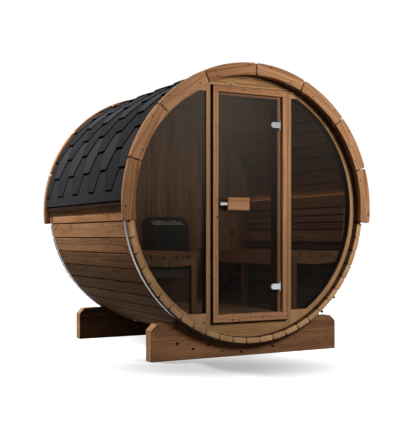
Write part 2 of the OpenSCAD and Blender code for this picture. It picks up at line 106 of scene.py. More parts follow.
# %% Outlines
def eased(corners, radius, steps=3):
    """Rounds a polygon's corners. With A and B a radius before and after a corner P, the corner
    becomes the curve (1 - t)^2 A + 2 t (1 - t) P + t^2 B for t from 0 to 1."""
    corners = np.asarray(corners, float)
    radius = np.broadcast_to(radius, len(corners))[:, None]
    before = np.roll(corners, 1, axis=0) - corners
    after = np.roll(corners, -1, axis=0) - corners
    start = corners + radius * before / np.linalg.norm(before, axis=1, keepdims=True)
    end = corners + radius * after / np.linalg.norm(after, axis=1, keepdims=True)
    t = np.linspace(0, 1, steps + 1)[None, :, None]
    curve = (1 - t) ** 2 * start[:, None] + 2 * t * (1 - t) * corners[:, None] + t**2 * end[:, None]
    return curve.reshape(-1, 2)


def rectangle(width, height, radius=2 * MM, steps=3):
    """Outline of a rectangle about its middle, counter-clockwise, with eased corners."""
    x, y = width / 2, height / 2
    return eased([(-x, -y), (x, -y), (x, y), (-x, y)], radius, steps)


def divided(outline, step):
    """The same outline with more points: its own corners, and points every step of its length."""
    closed = np.vstack([outline, outline[:1]])
    length = np.append(0, np.cumsum(np.linalg.norm(np.diff(closed, axis=0), axis=1)))
    extra = np.arange(0, length[-1], step)
    clear = np.abs(extra[:, None] - length[None, :]).min(axis=1) > step / 4
    places = np.sort(np.concatenate([length[:-1], extra[clear]]))
    return np.column_stack([np.interp(places, length, closed[:, k]) for k in (0, 1)])


def drawn_in(outline, depth):
    """Moves each point of a counter-clockwise outline inwards by depth from both of its sides:
    with unit normals m and n of the two sides, the point moves by -2 depth (m + n) / |m + n|^2."""
    side = np.roll(outline, -1, axis=0) - outline
    side /= np.linalg.norm(side, axis=1, keepdims=True)
    normal = np.column_stack([side[:, 1], -side[:, 0]])
    both = normal + np.roll(normal, 1, axis=0)
    return outline - 2 * depth * both / (both**2).sum(axis=1, keepdims=True)


print("a plank's outline has", len(rectangle(0.1, 0.02)), "points")

# %% [markdown]
# At both ends of a board the outline draws in a little, which eases the edges of its end grain. A Bevel
# modifier could round them too, but the formula gives the rounding and the end caps at once, with few
# faces. The faces of any such tube are the same: quads between its rings, and a cap at each end.

# %% Solids
Solid = namedtuple("Solid", "points loops sizes caps")


def tube_faces(levels, count):
    """Corners and sizes of the faces of a closed tube: quads between rings of count points each, and
    then a cap on the first ring and one on the last."""
    here = np.arange(count)
    following = np.roll(here, -1)
    level = np.arange(levels - 1)[:, None] * count
    corners = (level + here, level + following, level + count + following, level + count + here)
    caps = (here[::-1], here + (levels - 1) * count)
    sizes = np.append(np.full((levels - 1) * count, 4), [count, count])
    return np.concatenate([np.stack(corners, axis=-1).reshape(-1), *caps]), sizes


def carried(outline, stations):
    """A closed solid. Each station is a place on the path and how far the outline is drawn in
    there, so point (i, k) is outline point i, drawn in by inset k, at place k."""
    rings = [np.column_stack([drawn_in(outline, inset), np.full(len(outline), place)])
             for place, inset in stations]
    loops, sizes = tube_faces(len(stations), len(outline))
    return Solid(np.vstack(rings), loops, sizes, np.append(np.zeros(len(sizes) - 2, int), [1, 1]))


def eased_ends(start, end, ease=2 * MM):
    """Stations of a board whose two ends are eased."""
    shape = [(0, 1), (0.3, 0.3), (1, 0)]
    first = [(start + place * ease, inset * ease) for place, inset in shape]
    last = [(end - place * ease, inset * ease) for place, inset in reversed(shape)]
    return first + last


print("a plain board has", len(carried(rectangle(0.1, 0.02), eased_ends(0, 1)).sizes), "faces")

# %% [markdown]
# Wood looks real when its grain runs through the whole board, as growth rings do. So each board is
# given a place in an imaginary log: an attribute named grain holds, for every point, the distance along
# the log and the two distances across it from its heart. A second attribute, tone, is one number for
# each board, because neighbouring boards never have the same colour. The draws are seeded, so they give
# the same sauna each time. ALONG_Y turns a solid so that its outline lies in X and Z and its path runs
# along the barrel.

# %% Boards cut from logs
chance = np.random.default_rng(54)
AXES = np.eye(3)
ALONG_Y = AXES[[0, 2, 1]]
HEART_NEAR, HEART_FAR = 30 * MM, 90 * MM
HEART_ASIDE = 45 * MM
LOG_LENGTH = 60
Board = namedtuple("Board", "solid places grain tone finish")


def turned(local, origin, first, second, third):
    """Places local points: origin + p first + q second + s third."""
    return np.asarray(origin) + local @ np.array([first, second, third])


def log_places(local, order):
    """Places of a board's points in its log: along the grain, and across it from the heart.
    order names which local directions these are; the board lies at a random place in the log."""
    low, high = local.min(axis=0), local.max(axis=0)
    centred = (local - (low + high) / 2)[:, list(order)]
    heart = chance.choice([-1, 1]) * chance.uniform(HEART_NEAR, HEART_FAR)
    return centred + [chance.uniform(0, LOG_LENGTH), chance.uniform(-HEART_ASIDE, HEART_ASIDE), heart]


def board(solid, origin=(0, 0, 0), turn=AXES, order=(2, 0, 1), tone=None, end_finish=0):
    """A solid put in its place and cut from a log. order is the grain's direction, then the two
    across it. Its end caps take the finish numbered end_finish, and its sides take number 0."""
    tone = chance.uniform() if tone is None else tone
    grain = log_places(solid.points, order)
    places = turned(solid.points, origin, *turn)
    return Board(solid, places, grain, np.full(len(places), tone), solid.caps * end_finish)


print("a log of", LOG_LENGTH, "m, with its heart", HEART_NEAR, "to", HEART_FAR, "m from a board's middle")

# %% [markdown]
# A piece is one mesh of many boards. Its arrays go into the mesh with foreach_set, which takes a whole
# array at once. Each piece then rides on its body in the frame, and where it stands for CAD nodes, those
# are no longer shown.

# %% Pieces from boards
SHARP_ANGLE = np.radians(28)


def make_piece(name, boards, finishes, body="shell", replaces=()):
    """Joins boards into one mesh with their grain and tone, and hangs it on a body of the frame."""
    counts = np.cumsum([0] + [len(b.places) for b in boards])
    points = np.vstack([b.places for b in boards])
    loops = np.concatenate([b.solid.loops + start for b, start in zip(boards, counts)])
    sizes = np.concatenate([b.solid.sizes for b in boards])
    mesh = bpy.data.meshes.new(name)
    mesh.vertices.add(len(points))
    mesh.vertices.foreach_set("co", points.astype(np.float32).ravel())
    mesh.loops.add(len(loops))
    mesh.loops.foreach_set("vertex_index", loops.astype(np.int32))
    mesh.polygons.add(len(sizes))
    mesh.polygons.foreach_set("loop_start", np.append(0, np.cumsum(sizes)[:-1]).astype(np.int32))
    mesh.polygons.foreach_set("material_index", np.concatenate([b.finish for b in boards]).astype(np.int32))
    mesh.update(calc_edges=True)
    mesh.validate()
    grain = np.vstack([b.grain for b in boards]).astype(np.float32)
    tone = np.concatenate([b.tone for b in boards]).astype(np.float32)
    return hang(name, mesh, finishes, grain, tone, body, replaces)


def hang(name, mesh, finishes, grain, tone, body, replaces):
    """Gives a mesh its attributes, outward faces and finishes, and lets it ride on its body."""
    mesh.attributes.new("grain", "FLOAT_VECTOR", "POINT").data.foreach_set("vector", grain.ravel())
    mesh.attributes.new("tone", "FLOAT", "POINT").data.foreach_set("value", tone)
    shape = bmesh.new()
    shape.from_mesh(mesh)
    bmesh.ops.recalc_face_normals(shape, faces=shape.faces)
    shape.to_mesh(mesh)
    shape.free()
    mesh.shade_smooth()
    mesh.set_sharp_from_angle(angle=SHARP_ANGLE)
    piece = bpy.data.objects.new(name, mesh)
    bpy.context.scene.collection.objects.link(piece)
    for finish in finishes:
        mesh.materials.append(finish)
    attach(piece, body)
    if replaces:
        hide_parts(*replaces)
    print(f"{name}: {len(mesh.polygons)} faces")
    return piece


print(f"an edge of more than {np.degrees(SHARP_ANGLE):.0f} degrees stays sharp")

# %% [markdown]
# Some CAD nodes already have the right outline and only lack eased edges: the door frame, the cradles,
# the benches. A copy of such a node is merged, its coplanar triangles are joined again, and a Bevel
# modifier eases its edges. Each separate solid in it gets its own place in a log. The order that is
# given with a copy says which of X, Y and Z runs along that log, and which two run across it.

# %% Eased copies of CAD nodes
def solid_labels(points, edges):
    """One number for each point, equal within a solid: each pass gives both ends of every edge the
    lower of their two numbers, until nothing changes."""
    label = np.arange(len(points))
    while True:
        lower = np.minimum(label[edges[:, 0]], label[edges[:, 1]])
        spread = label.copy()
        np.minimum.at(spread, edges[:, 0], lower)
        np.minimum.at(spread, edges[:, 1], lower)
        if (spread == label).all():
            return np.unique(label, return_inverse=True)[1]
        label = spread


def merged_mesh(name, nodes):
    """One mesh with the merged shapes of several CAD nodes, and flat faces in one piece."""
    shape = bmesh.new()
    for node in nodes:
        shape.from_mesh(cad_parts[node].data)
    bmesh.ops.remove_doubles(shape, verts=shape.verts, dist=0.02 * MM)
    bmesh.ops.dissolve_limit(shape, angle_limit=np.radians(0.5), verts=shape.verts, edges=shape.edges)
    mesh = bpy.data.meshes.new(name)
    shape.to_mesh(mesh)
    shape.free()
    for attribute in [a.name for a in mesh.attributes if a.name in ("custom_normal", "sharp_edge")]:
        mesh.attributes.remove(mesh.attributes[attribute])
    mesh.materials.clear()
    return mesh


UPRIGHT = (2, 0, 1)
SIDEWAYS = (0, 2, 1)
ALONG = (1, 0, 2)
ALONG_EDGE = (1, 2, 0)
ACROSS = (0, 1, 2)
END_GRAIN_FACE = 0.6
EDGE_ANGLE = np.radians(35)


def eased_copy(name, nodes, finishes, order, ease=2 * MM, body="shell", steps=2):
    """A copy of CAD nodes with eased edges and grain along the first direction in order. With two
    finishes, the second one goes on the faces that look along the grain."""
    mesh = merged_mesh(name, nodes)
    points = values_of(mesh.vertices, "co", 3)
    label = solid_labels(points, values_of(mesh.edges, "vertices", 2, np.int32))
    count = label.max() + 1
    total = np.bincount(label)[:, None]
    centre = np.column_stack([np.bincount(label, points[:, k]) for k in range(3)]) / total
    heart = chance.choice([-1, 1], count) * chance.uniform(HEART_NEAR, HEART_FAR, count)
    along, aside = chance.uniform(0, LOG_LENGTH, count), chance.uniform(-HEART_ASIDE, HEART_ASIDE, count)
    grain = (points - centre[label])[:, list(order)] + np.column_stack([along, aside, heart])[label]
    tone = chance.uniform(0, 1, count)[label]
    piece = hang(name, mesh, finishes, grain.astype(np.float32), tone.astype(np.float32), body, nodes)
    if len(finishes) > 1:
        is_end = abs(values_of(mesh.polygons, "normal", 3)[:, order[0]]) > END_GRAIN_FACE
        mesh.polygons.foreach_set("material_index", is_end.astype(np.int32))
    rounding = piece.modifiers.new("eased edges", "BEVEL")
    rounding.width = ease
    rounding.segments = steps
    rounding.limit_method = "ANGLE"
    rounding.angle_limit = EDGE_ANGLE
    rounding.harden_normals = False
    return piece


print(f"edges of more than {np.degrees(EDGE_ANGLE):.0f} degrees are eased")

# %% [markdown]
# Materials are node trees. Sums and products read best as Python expressions, so a small class wraps a
# socket and adds a Math node for each operator, also where a plain number comes first, as in 1 - mask.

# %% Sockets as numbers
def operator(operation):
    """The two methods behind one of Python's operators: for link * value, and for value * link."""
    return (lambda self, other: self.nodes.maths(operation, self, other),
            lambda self, other: self.nodes.maths(operation, other, self))


class Link:
    """A node's output. Python's operators on it add Math nodes."""

    def __init__(self, nodes, socket):
        self.nodes = nodes
        self.socket = socket

    __add__, __radd__ = operator("ADD")
    __sub__, __rsub__ = operator("SUBTRACT")
    __mul__, __rmul__ = operator("MULTIPLY")
    __truediv__, __rtruediv__ = operator("DIVIDE")
    __pow__, __rpow__ = operator("POWER")


print("a link has", sum(callable(method) for method in vars(Link).values()), "methods")

# %% [markdown]
# One method adds any other node, from its type, its settings and its inputs. The few nodes that are used
# again and again have a method each. A world's nodes are made in the same way as a material's.

# %% Node trees
class Nodes:
    """The node tree of a material or a world, and the shader in it that the other nodes feed."""

    def __init__(self, holder, shader, uniform=None):
        holder.use_nodes = True
        self.tree = holder.node_tree
        self.shader = self.tree.nodes[shader]
        self.feed(uniform or {})

    def join(self, target, value):
        """Links a socket to a link's output, or sets it to a plain value."""
        if isinstance(value, Link):
            self.tree.links.new(value.socket, target)
        else:
            target.default_value = value

    def feed(self, inputs):
        """Sets or links sockets of the shader."""
        for title, value in inputs.items():
            self.join(self.shader.inputs[title], value)

    def node(self, kind, settings=None, inputs=None, output=0):
        """Adds a node: first its settings, then the values or links of its sockets."""
        added = self.tree.nodes.new(kind)
        for setting, value in (settings or {}).items():
            setattr(added, setting, value)
        for socket, value in (inputs or {}).items():
            self.join(added.inputs[socket], value)
        return Link(self, added.outputs[output])

    def maths(self, operation, *values):
        """One Math node for one operation on numbers."""
        return self.node("ShaderNodeMath", {"operation": operation}, dict(enumerate(values)))

    def attribute(self, name, output):
        """An attribute of the mesh, as a vector or as a number (Fac)."""
        return self.node("ShaderNodeAttribute", {"attribute_name": name}, output=output)

    def parts(self, vector):
        """The three numbers of a vector."""
        return [self.node("ShaderNodeSeparateXYZ", inputs={0: vector}, output=k) for k in range(3)]

    def vector(self, x, y, z=0.0):
        """A vector from three numbers."""
        return self.node("ShaderNodeCombineXYZ", inputs={0: x, 1: y, 2: z})

    def noise(self, place, scale=1.0, detail=2.0, roughness=0.5):
        """Smooth noise from 0 to 1."""
        inputs = {"Vector": place, "Scale": scale, "Detail": detail, "Roughness": roughness}
        return self.node("ShaderNodeTexNoise", inputs=inputs)

    def slope(self, value, start, end, low=0.0, high=1.0):
        """low up to start and high from end on, with a smooth step between them."""
        inputs = {"Value": value, "From Min": start, "From Max": end, "To Min": low, "To Max": high}
        return self.node("ShaderNodeMapRange", {"interpolation_type": "SMOOTHSTEP"}, inputs)

    def mix(self, share, first, second):
        """A colour between first and second."""
        return self.node("ShaderNodeMix", {"data_type": "RGBA"}, {0: share, 6: first, 7: second}, output=2)

    def scaled(self, colour, amount):
        """A colour times a number."""
        return self.node("ShaderNodeVectorMath", {"operation": "SCALE"}, {0: colour, "Scale": amount})

    def bump(self, height, distance, strength=1.0):
        """A Normal from a height between 0 and 1, where 1 stands distance metres high."""
        inputs = {"Height": height, "Distance": distance, "Strength": strength}
        return self.node("ShaderNodeBump", inputs=inputs)

    def object_place(self):
        """The place on the object, in metres from its origin."""
        return self.node("ShaderNodeTexCoord", output="Object")


class Finish(Nodes):
    """A material with one Principled shader, and the nodes that feed it."""

    def __init__(self, name, uniform=None):
        self.material = bpy.data.materials.new(name)
        super().__init__(self.material, "Principled BSDF", uniform)


def colour(red, green, blue):
    """A colour as it looks on screen, from 0 to 255, turned into the linear values of a shader."""
    screen = np.array([red, green, blue]) / 255
    linear = np.where(screen <= 0.04045, screen / 12.92, ((screen + 0.055) / 1.055) ** 2.4)
    return (*linear.tolist(), 1.0)


print("a wood brown on screen is", np.round(colour(150, 105, 70)[:3], 3), "in a shader")

# %% [markdown]
# Heat-treated spruce is the same brown all through, with darker late wood at the outer side of each
# growth ring, fine fibres along the grain and small dark knots. The rings are cylinders round the log's
# heart: the distance from it, bent by slow noise and pushed out round each knot, divided by a ring's
# width. A plank's face cuts them at a flat angle, which gives the arches of a sawn board, and its end
# cuts them square, which gives the arcs of end grain, with no extra work.

# %% Wood finishes
KNOT = colour(46, 26, 17)
RUDDY = colour(150, 78, 48)
KNOT_CELL = 180 * MM
KNOT_HALO = 22 * MM
SWAY = 24 * MM


def wood(name, pale, dark, spread=0.2, ring=9 * MM, knots=0.42, contrast=1.0, checks=0.0,
         knot_size=8 * MM, knot_count=1.0):
    """A planed, heat-treated softwood. spread is how much the boards differ in lightness, and checks
    is how dark its short cracks are, which run across the grain along the edges of large cells."""
    finish = Finish(name)
    along, across, depth = finish.parts(finish.attribute("grain", "Vector"))
    tone = finish.attribute("tone", "Fac")

    def grainy(length, width, detail=2.0):
        """Noise that changes length times a metre along the grain and width times across it."""
        return finish.noise(finish.vector(along * length, across * width, depth * width), detail=detail)

    def cells(place, scale, output=0, **settings):
        """Cells round scattered points: the distance to the nearest point, or its own colour."""
        settings["voronoi_dimensions"] = "2D"
        return finish.node("ShaderNodeTexVoronoi", settings, {"Vector": place, "Scale": scale}, output)

    sway = grainy(0.9, 5, 1.0) - 0.5
    spots = finish.vector(along * 4.6, across * 6.5)
    knot_distance = cells(spots, knot_count) * (KNOT_CELL / knot_count)
    knot_draw = finish.parts(cells(spots, knot_count, output=1))[0]
    size = finish.slope(knot_draw, knots, 1.0, 0.0, knot_size)
    knot = finish.slope(size - knot_distance, -1.5 * MM, 1.5 * MM)
    halo = finish.slope(knot_distance - 3 * size, 0.0, KNOT_HALO, 1.0, 0.0)
    real_knot = finish.slope(knot_draw, knots, knots + 0.1)
    distance = (across * across + depth * depth) ** 0.5 + sway * SWAY + halo * real_knot * (7 * MM)
    phase = finish.maths("FRACT", distance / ring)
    late = finish.slope(phase, 0.35, 0.9) * finish.slope(phase, 0.93, 1.0, 1.0, 0.0)
    fibre = grainy(9, 330, 3.0)
    blotch = grainy(0.8, 7)
    share = late * (0.5 * contrast) + (fibre - 0.5) * (1.2 * contrast) + (blotch - 0.5) * 1.5 + 0.34
    body = finish.mix(share, colour(*pale), colour(*dark))
    lightness = (tone - 0.5) * spread + 1.0
    warmth = finish.maths("FRACT", tone * 7.3)
    ruddy = finish.mix(warmth * 0.22, body, finish.scaled(finish.mix(0.5, body, RUDDY), 0.9))
    stain = knot
    if checks:
        bent = finish.vector(along * 4.5 + sway * 1.2, across * 5 + sway)
        crack = finish.slope(cells(bent, 1.0, feature="DISTANCE_TO_EDGE"), 0.006, 0.014, checks, 0.0)
        stain = finish.maths("MAXIMUM", knot, crack * finish.slope(grainy(6, 9), 0.5, 0.56))
    shown = finish.mix(stain, finish.scaled(ruddy, lightness), KNOT)
    height = late * 0.35 + fibre * 0.5 - knot * 0.4
    finish.feed({"Base Color": shown, "Normal": finish.bump(height, 0.5 * MM, 0.5)})
    finish.feed({"Roughness": (fibre - 0.5) * 0.2 + 0.74, "Specular IOR Level": 0.03})
    return finish.material


stave_wood = wood("stave_wood", (186, 142, 102), (112, 76, 50), spread=0.5, checks=0.75)
fascia_wood = wood("fascia_wood", (190, 144, 105), (130, 87, 58), spread=0.22, ring=11 * MM)
frame_wood = wood("frame_wood", (180, 136, 99), (132, 90, 62), spread=0.12)
wall_wood = wood("wall_wood", (182, 143, 103), (138, 102, 69), spread=0.12, ring=7 * MM)
cradle_wood = wood("cradle_wood", (166, 120, 86), (88, 58, 40), spread=0.1, knots=0.15, contrast=1.3,
                   checks=0.5, knot_size=12 * MM, knot_count=1.6)
bench_wood = wood("bench_wood", (178, 132, 94), (126, 86, 58), spread=0.24)
lining_wood = wood("lining_wood", (166, 122, 88), (104, 72, 50), spread=0.3, knots=0.25)
floor_wood = wood("floor_wood", (206, 164, 124), (144, 107, 76), spread=0.3)
end_wood = wood("end_wood", (216, 174, 128), (164, 124, 83), spread=0.26, ring=5 * MM, knots=0.9)
dark_wood = wood("dark_wood", (62, 45, 34), (38, 26, 20), spread=0.1, knots=0.8)
# Painted shade: the walls of the staves' joints and the linings behind the glass; the eave battens and the
# lamp ledges are this dark wood too.
dark_and_painted_shade_wood = wood("dark_and_painted_shade_wood", (44, 31, 23), (24, 17, 13), spread=0.1, knots=0.9)
# Painted shade on the staves' inside where it shows in front of and behind the end walls.
band_shade_wood = wood("band_shade_wood", (92, 65, 46), (56, 38, 27), spread=0.5, knots=0.6)
# Painted shade on the staves' inside within the cabin, darker than their outside.
inner_shade_wood = wood("inner_shade_wood", (118, 85, 61), (78, 54, 38), spread=0.4, knots=0.3, ring=14 * MM,
                  contrast=0.6)
panel_wood = wood("panel_wood", (192, 151, 105), (136, 101, 66), spread=0.1, ring=12 * MM, contrast=1.7)
print("wood finishes:", sum(m.name.endswith("_wood") for m in bpy.data.materials))

# %% [markdown]
# Other finishes: the roof is bitumen felt covered with dark mineral grains, with black cut edges and a
# narrow black band of painted shade along each tab's edge. The hoops
# are plain steel strip, whose rolling lines run along the strip, so their noise is much finer across it.
# The glass is bronze tinted: its alpha lets a part of the light through both ways, so the cabin behind it
# stays dim, as it does in daylight. A painted reflection of the sky makes it paler high up and on the left.

# %% Felt, metal, glass and light
def mineral_felt():
    """Dark grains on bitumen, with cloudy patches and one tone for each strip."""
    finish = Finish("mineral_felt")
    place = finish.object_place()
    tone = finish.attribute("tone", "Fac")
    grains = finish.noise(place, 620.0, 3.0, 0.7)
    cloud = finish.noise(place, 5.0, 3.0)
    share = (grains - 0.5) * 1.5 + (cloud - 0.5) * 0.5 + (tone - 0.5) * 0.7 + 0.5
    shown = finish.mix(share, colour(24, 24, 25), colour(50, 50, 52))
    finish.feed({"Base Color": shown, "Roughness": grains * 0.1 + 0.85, "Specular IOR Level": 0.05})
    finish.feed({"Normal": finish.bump(grains, 1.2 * MM, 0.6)})
    return finish.material


def cut_felt_and_painted_shade():
    """The black, ragged side of a cut in the felt, also used as painted shade: a band along each tab's edge
    and a strip round the door frame.
    """
    finish = Finish("cut_felt_and_painted_shade", {"Roughness": 0.9, "Specular IOR Level": 0.0})
    ragged = finish.noise(finish.object_place(), 300.0, 3.0)
    finish.feed({"Base Color": finish.mix(ragged, colour(2, 2, 2), colour(8, 8, 8))})
    finish.feed({"Normal": finish.bump(ragged, 0.8 * MM, 0.6)})
    return finish.material


def metal(name, pale, dark, roughness, metallic=1.0, lines=(40, 900, 900), shine=0.5):
    """Metal with fine lines: the noise is squeezed most where lines is greatest. Paint is not metallic,
    and shine is how much it reflects."""
    finish = Finish(name, {"Metallic": metallic, "Specular IOR Level": shine})
    place = finish.object_place()
    stretch = finish.node("ShaderNodeVectorMath", {"operation": "MULTIPLY"}, {0: place, 1: lines})
    streaks = finish.noise(stretch, 1.0, 3.0)
    cloud = finish.noise(place, 7.0, 2.0)
    finish.feed({"Base Color": finish.mix(streaks * 0.7 + cloud * 0.3, colour(*dark), colour(*pale))})
    finish.feed({"Roughness": (streaks - 0.5) * 0.25 + roughness})
    finish.feed({"Normal": finish.bump(streaks, 0.05 * MM, 0.4)})
    return finish.material


def bronze_glass():
    """A dark pane that lets a part of the light through, with a painted reflection of the sky, paler high up
    and to the left.
    """
    finish = Finish("bronze_glass", {"Roughness": 0.02, "Alpha": 0.36, "Specular IOR Level": 0.06})
    place = finish.object_place()
    across, _, up = finish.parts(place)
    # Painted reflection of the sky: paler high up and to the left.
    tint = finish.slope(up, 0.6, 2.1) * finish.slope(across, -0.45, 0.45, 1.0, 0.3)
    cloud = (finish.noise(place, 1.3, 1.0) - 0.5) * 0.2
    finish.feed({"Base Color": finish.mix(tint + cloud, colour(8, 7, 6), colour(94, 86, 76))})
    finish.material.surface_render_method = "BLENDED"
    return finish.material


def glow(name, tint, strength):
    """A lamp strip: light of one tint with a row of paler beads in it."""
    finish = Finish(name, {"Base Color": tint, "Emission Strength": strength})
    beads = finish.noise(finish.object_place(), 60.0, 1.0)
    finish.feed({"Emission Color": finish.mix(beads * 0.3, tint, colour(255, 235, 205))})
    return finish.material


felt = mineral_felt()
felt_cut_and_shade = cut_felt_and_painted_shade()
hoop_steel = metal("hoop_steel", (118, 120, 123), (80, 83, 87), 0.42, lines=(30, 1500, 30))
satin_metal = metal("satin_metal", (190, 191, 193), (150, 152, 155), 0.36)
black_steel = metal("black_steel", (34, 36, 38), (18, 19, 20), 0.5, metallic=0.0, shine=0.08)
screw_steel = metal("screw_steel", (60, 45, 36), (32, 24, 19), 0.5, metallic=0.0, shine=0.05)
heater_black = metal("heater_black", (34, 37, 34), (24, 26, 24), 0.7, metallic=0.0, lines=(260, 260, 260))
heater_grey = metal("heater_grey", (128, 128, 126), (104, 104, 103), 0.42, metallic=0.6)
glass = bronze_glass()
warm_light = glow("warm_light", colour(255, 224, 184), 11.0)
print("finishes:", len(bpy.data.materials))

# %% [markdown]
# The staves carry the barrel. Real ones have a bead along one side and a matching cove along the other,
# so they close on each other at any barrel size, and a rebate that leaves a groove outside, whose walls
# are painted dark as shade. The bead is one cosine arch on the joint's own normal: neighbours share that
# line, so the joint stays even.

# %% The outline of a stave
STAVE_COUNT = 54
STAVE_GAP = 2 * MM
GROOVE = 3 * MM
GROOVE_DEPTH = 12 * MM
GROOVE_GAP = 9 * MM
INNER_LIP = 5 * MM
BEAD = 7 * MM
BEAD_SHARE = 0.6
STAVE_EASE = 1.5 * MM
JOINT_POINTS = 13
pitch = 2 * np.pi / STAVE_COUNT
stave_low, stave_high = box_of("staves_bottom")
stave_inner = span_of("staves_bottom", np.pi)[2]


def stave_outline(inner, outer):
    """Outline across one stave. A point at distance r along a joint lies at
    r (sin h, cos h) + n (bead cos(pi (r - middle) / width) - gap / 2), where h is half the pitch and
    n the joint's normal; the other side mirrors the line and adds the bead again, as a cove."""
    half = pitch / 2
    floor, width = outer - GROOVE_DEPTH, BEAD_SHARE * (outer - inner)
    r = np.append(np.linspace(inner + INNER_LIP, floor, JOINT_POINTS - 2), [floor, outer - GROOVE])
    gap = np.append(np.full(JOINT_POINTS - 2, STAVE_GAP), [GROOVE_GAP, GROOVE_GAP])
    middle = (inner + floor) / 2
    arch = BEAD * np.cos(np.pi * np.clip((r - middle) / width, -0.5, 0.5))
    right = np.outer(r, [np.sin(half), np.cos(half)])
    right += np.outer(arch - gap / 2, [np.cos(half), -np.sin(half)])
    left = np.outer(r, [-np.sin(half), np.cos(half)])
    left += np.outer(arch + gap / 2, [np.cos(half), np.sin(half)])
    flat_out, flat_in = outer * np.cos(half), inner * np.cos(half)
    edge = outer * np.sin(half) - GROOVE - GROOVE_GAP / 2
    lip = inner * np.sin(half) - INNER_LIP
    ends = ([[edge, flat_out], [-edge, flat_out]], [[-lip, flat_in], [lip, flat_in]])
    return np.vstack([right, ends[0], left[::-1], ends[1]])


outline = stave_outline(stave_inner, barrel_radius)
print("a stave's outline has", len(outline), "points")

# %% [markdown]
# The staves are laid round the axis, each in the plane of its own angle. Under the left eave the boards'
# tones are painted light and shade: four chosen tones, light under the eave and dark on the fourth board,
# and darker drawn tones lower down that side, where less light falls. One stave shows five finishes: its
# weathered outside, its end grain, its inside between the two walls, the same side in front of and behind
# them, and the dark in its joints; the last three are painted shade.

# %% Laying the staves
STAVE_NODES = ["staves_bottom", "staves_lower_left", "staves_lower_right", "staves_side_left",
               "staves_side_right", "staves_upper_left", "staves_upper_right", "staves_top"]
# Painted light and shade under the left eave: chosen tones by degrees below the level of the axis, and
# darker drawn tones lower down on that side as painted shade.
EAVE_PAINTED_TONES = {3: 1.45, 10: 1.0, 17: 0.9, 23: 0.2}
SHADE_FIRST, SHADE_LAST = 26, 80
SHADE_TONE, SHADE_SPREAD = -0.6, 0.3
OUTSIDE, END_GRAIN, INSIDE, REVEAL_SHADE, JOINT_SHADE = range(5)
stave_finishes = [stave_wood, end_wood, inner_shade_wood, band_shade_wood, dark_and_painted_shade_wood]


def radial(angle):
    """Directions at an angle from straight up: along the circle, away from the axis, along the barrel."""
    return [[np.cos(angle), 0, -np.sin(angle)], [np.sin(angle), 0, np.cos(angle)], [0, 1, 0]]


def stave_angles(node):
    """Angles of a node's staves, spread evenly over what the node covers."""
    centre = corner_points(node).mean(axis=0)
    middle = np.arctan2(centre[0], centre[2] - axis_z)
    low, high = span_of(node, middle)[:2]
    count = round((high - low) / pitch)
    return middle + (low + high) / 2 + (np.arange(count) - (count - 1) / 2) * pitch


def stave_tone_and_painted_light(angle):
    """Painted light and shade under the left eave: light boards and then a dark one, at chosen degrees below
    the level of the axis, and a drawn tone for each other board, made darker low down on that side as
    painted shade."""
    from_left = np.degrees(-angle % (2 * np.pi)) - 90
    chosen = [tone for place, tone in EAVE_PAINTED_TONES.items() if abs(from_left - place) < np.degrees(pitch) / 2]
    drawn = chance.uniform()
    if chosen:
        return chosen[0]
    return SHADE_SPREAD * drawn + SHADE_TONE if SHADE_FIRST < from_left < SHADE_LAST else drawn


stations = eased_ends(stave_low[1], stave_high[1], STAVE_EASE)
wall_faces = [(box_of("wall_post_left")[0][1], 0), (box_of("back_wall")[1][1], 0)]
eased_levels = len(stations) // 2
stave_solid = carried(outline, stations[:eased_levels] + wall_faces + stations[eased_levels:])
level, part = np.divmod(np.arange(len(stave_solid.sizes)), len(outline))
outer_side, inner_side = abs(part - JOINT_POINTS) < 2, part == 2 * JOINT_POINTS + 2
# Painted shade: the staves' inside is darker in the cabin and darker still in front of and behind the walls,
# and the walls of the joints are dark.
inner_finish = np.where(level == eased_levels, INSIDE, REVEAL_SHADE)
side_finish = np.where(outer_side, OUTSIDE, np.where(inner_side, inner_finish, JOINT_SHADE))
stave_finish = np.where(stave_solid.sizes == 4, side_finish, END_GRAIN)
for node in STAVE_NODES:
    boards = [board(stave_solid, AXIS, radial(angle), tone=stave_tone_and_painted_light(angle))
              for angle in stave_angles(node)]
    boards = [b._replace(finish=stave_finish) for b in boards]
    make_piece("planed_" + node, boards, stave_finishes, replaces=[node])

# %% [markdown]
# A trim ring closes each end of the roof: eight boards sawn to the curve out of straight planks, with
# rounded corners. The outline is a rounded rectangle whose long way is bent: x becomes an angle and y a
# distance from the axis. Its grain stays straight, as in the plank, so it runs out at both ends.

# %% Trim rings
RING_BOARDS = 8
RING_CORNER = 15 * MM
RING_GAP = 8 * MM
RING_EASE = 4 * MM
SKIN = 1 * MM
END_TONE = 0.0


def ring_outline(span, inner, outer):
    """Rounded rectangle bent round the axis: the point (x, y) goes to angle x / m and distance m + y,
    with m the mean distance, and is then laid flat in the board's own directions."""
    mean = (inner + outer) / 2
    width = span * mean - RING_GAP
    flat = divided(rectangle(width, outer - inner, RING_CORNER, 5), 14 * MM)
    angle, distance = flat[:, 0] / mean, mean + flat[:, 1]
    return np.column_stack([distance * np.sin(angle), distance * np.cos(angle)])


def ring_face(node, facing):
    """Where a ring's outer face lies: a skin within its box, so that the screw heads stay inside too."""
    low, high = box_of(node)
    return low[1] + SKIN if facing < 0 else high[1] - SKIN


def trim_ring(node, facing):
    """The boards of one ring. The board at the left end is a dark one."""
    first, last, inner, outer = span_of(node)
    low, high = box_of(node)
    face = ring_face(node, facing)
    near, far = (face, high[1]) if facing < 0 else (low[1], face)
    span = (last - first) / RING_BOARDS
    solid = carried(ring_outline(span, inner, outer - SKIN / 5), eased_ends(near, far, RING_EASE))
    middles = first + (np.arange(RING_BOARDS) + 0.5) * span
    tones = chance.uniform(0.1, 1.0, RING_BOARDS)
    tones[0] = END_TONE
    boards = [board(solid, AXIS, radial(angle), (0, 1, 2), tone) for angle, tone in zip(middles, tones)]
    make_piece("trim_" + node, boards, [fascia_wood], replaces=[node])


trim_ring("fascia_front", -1)
trim_ring("fascia_back", 1)
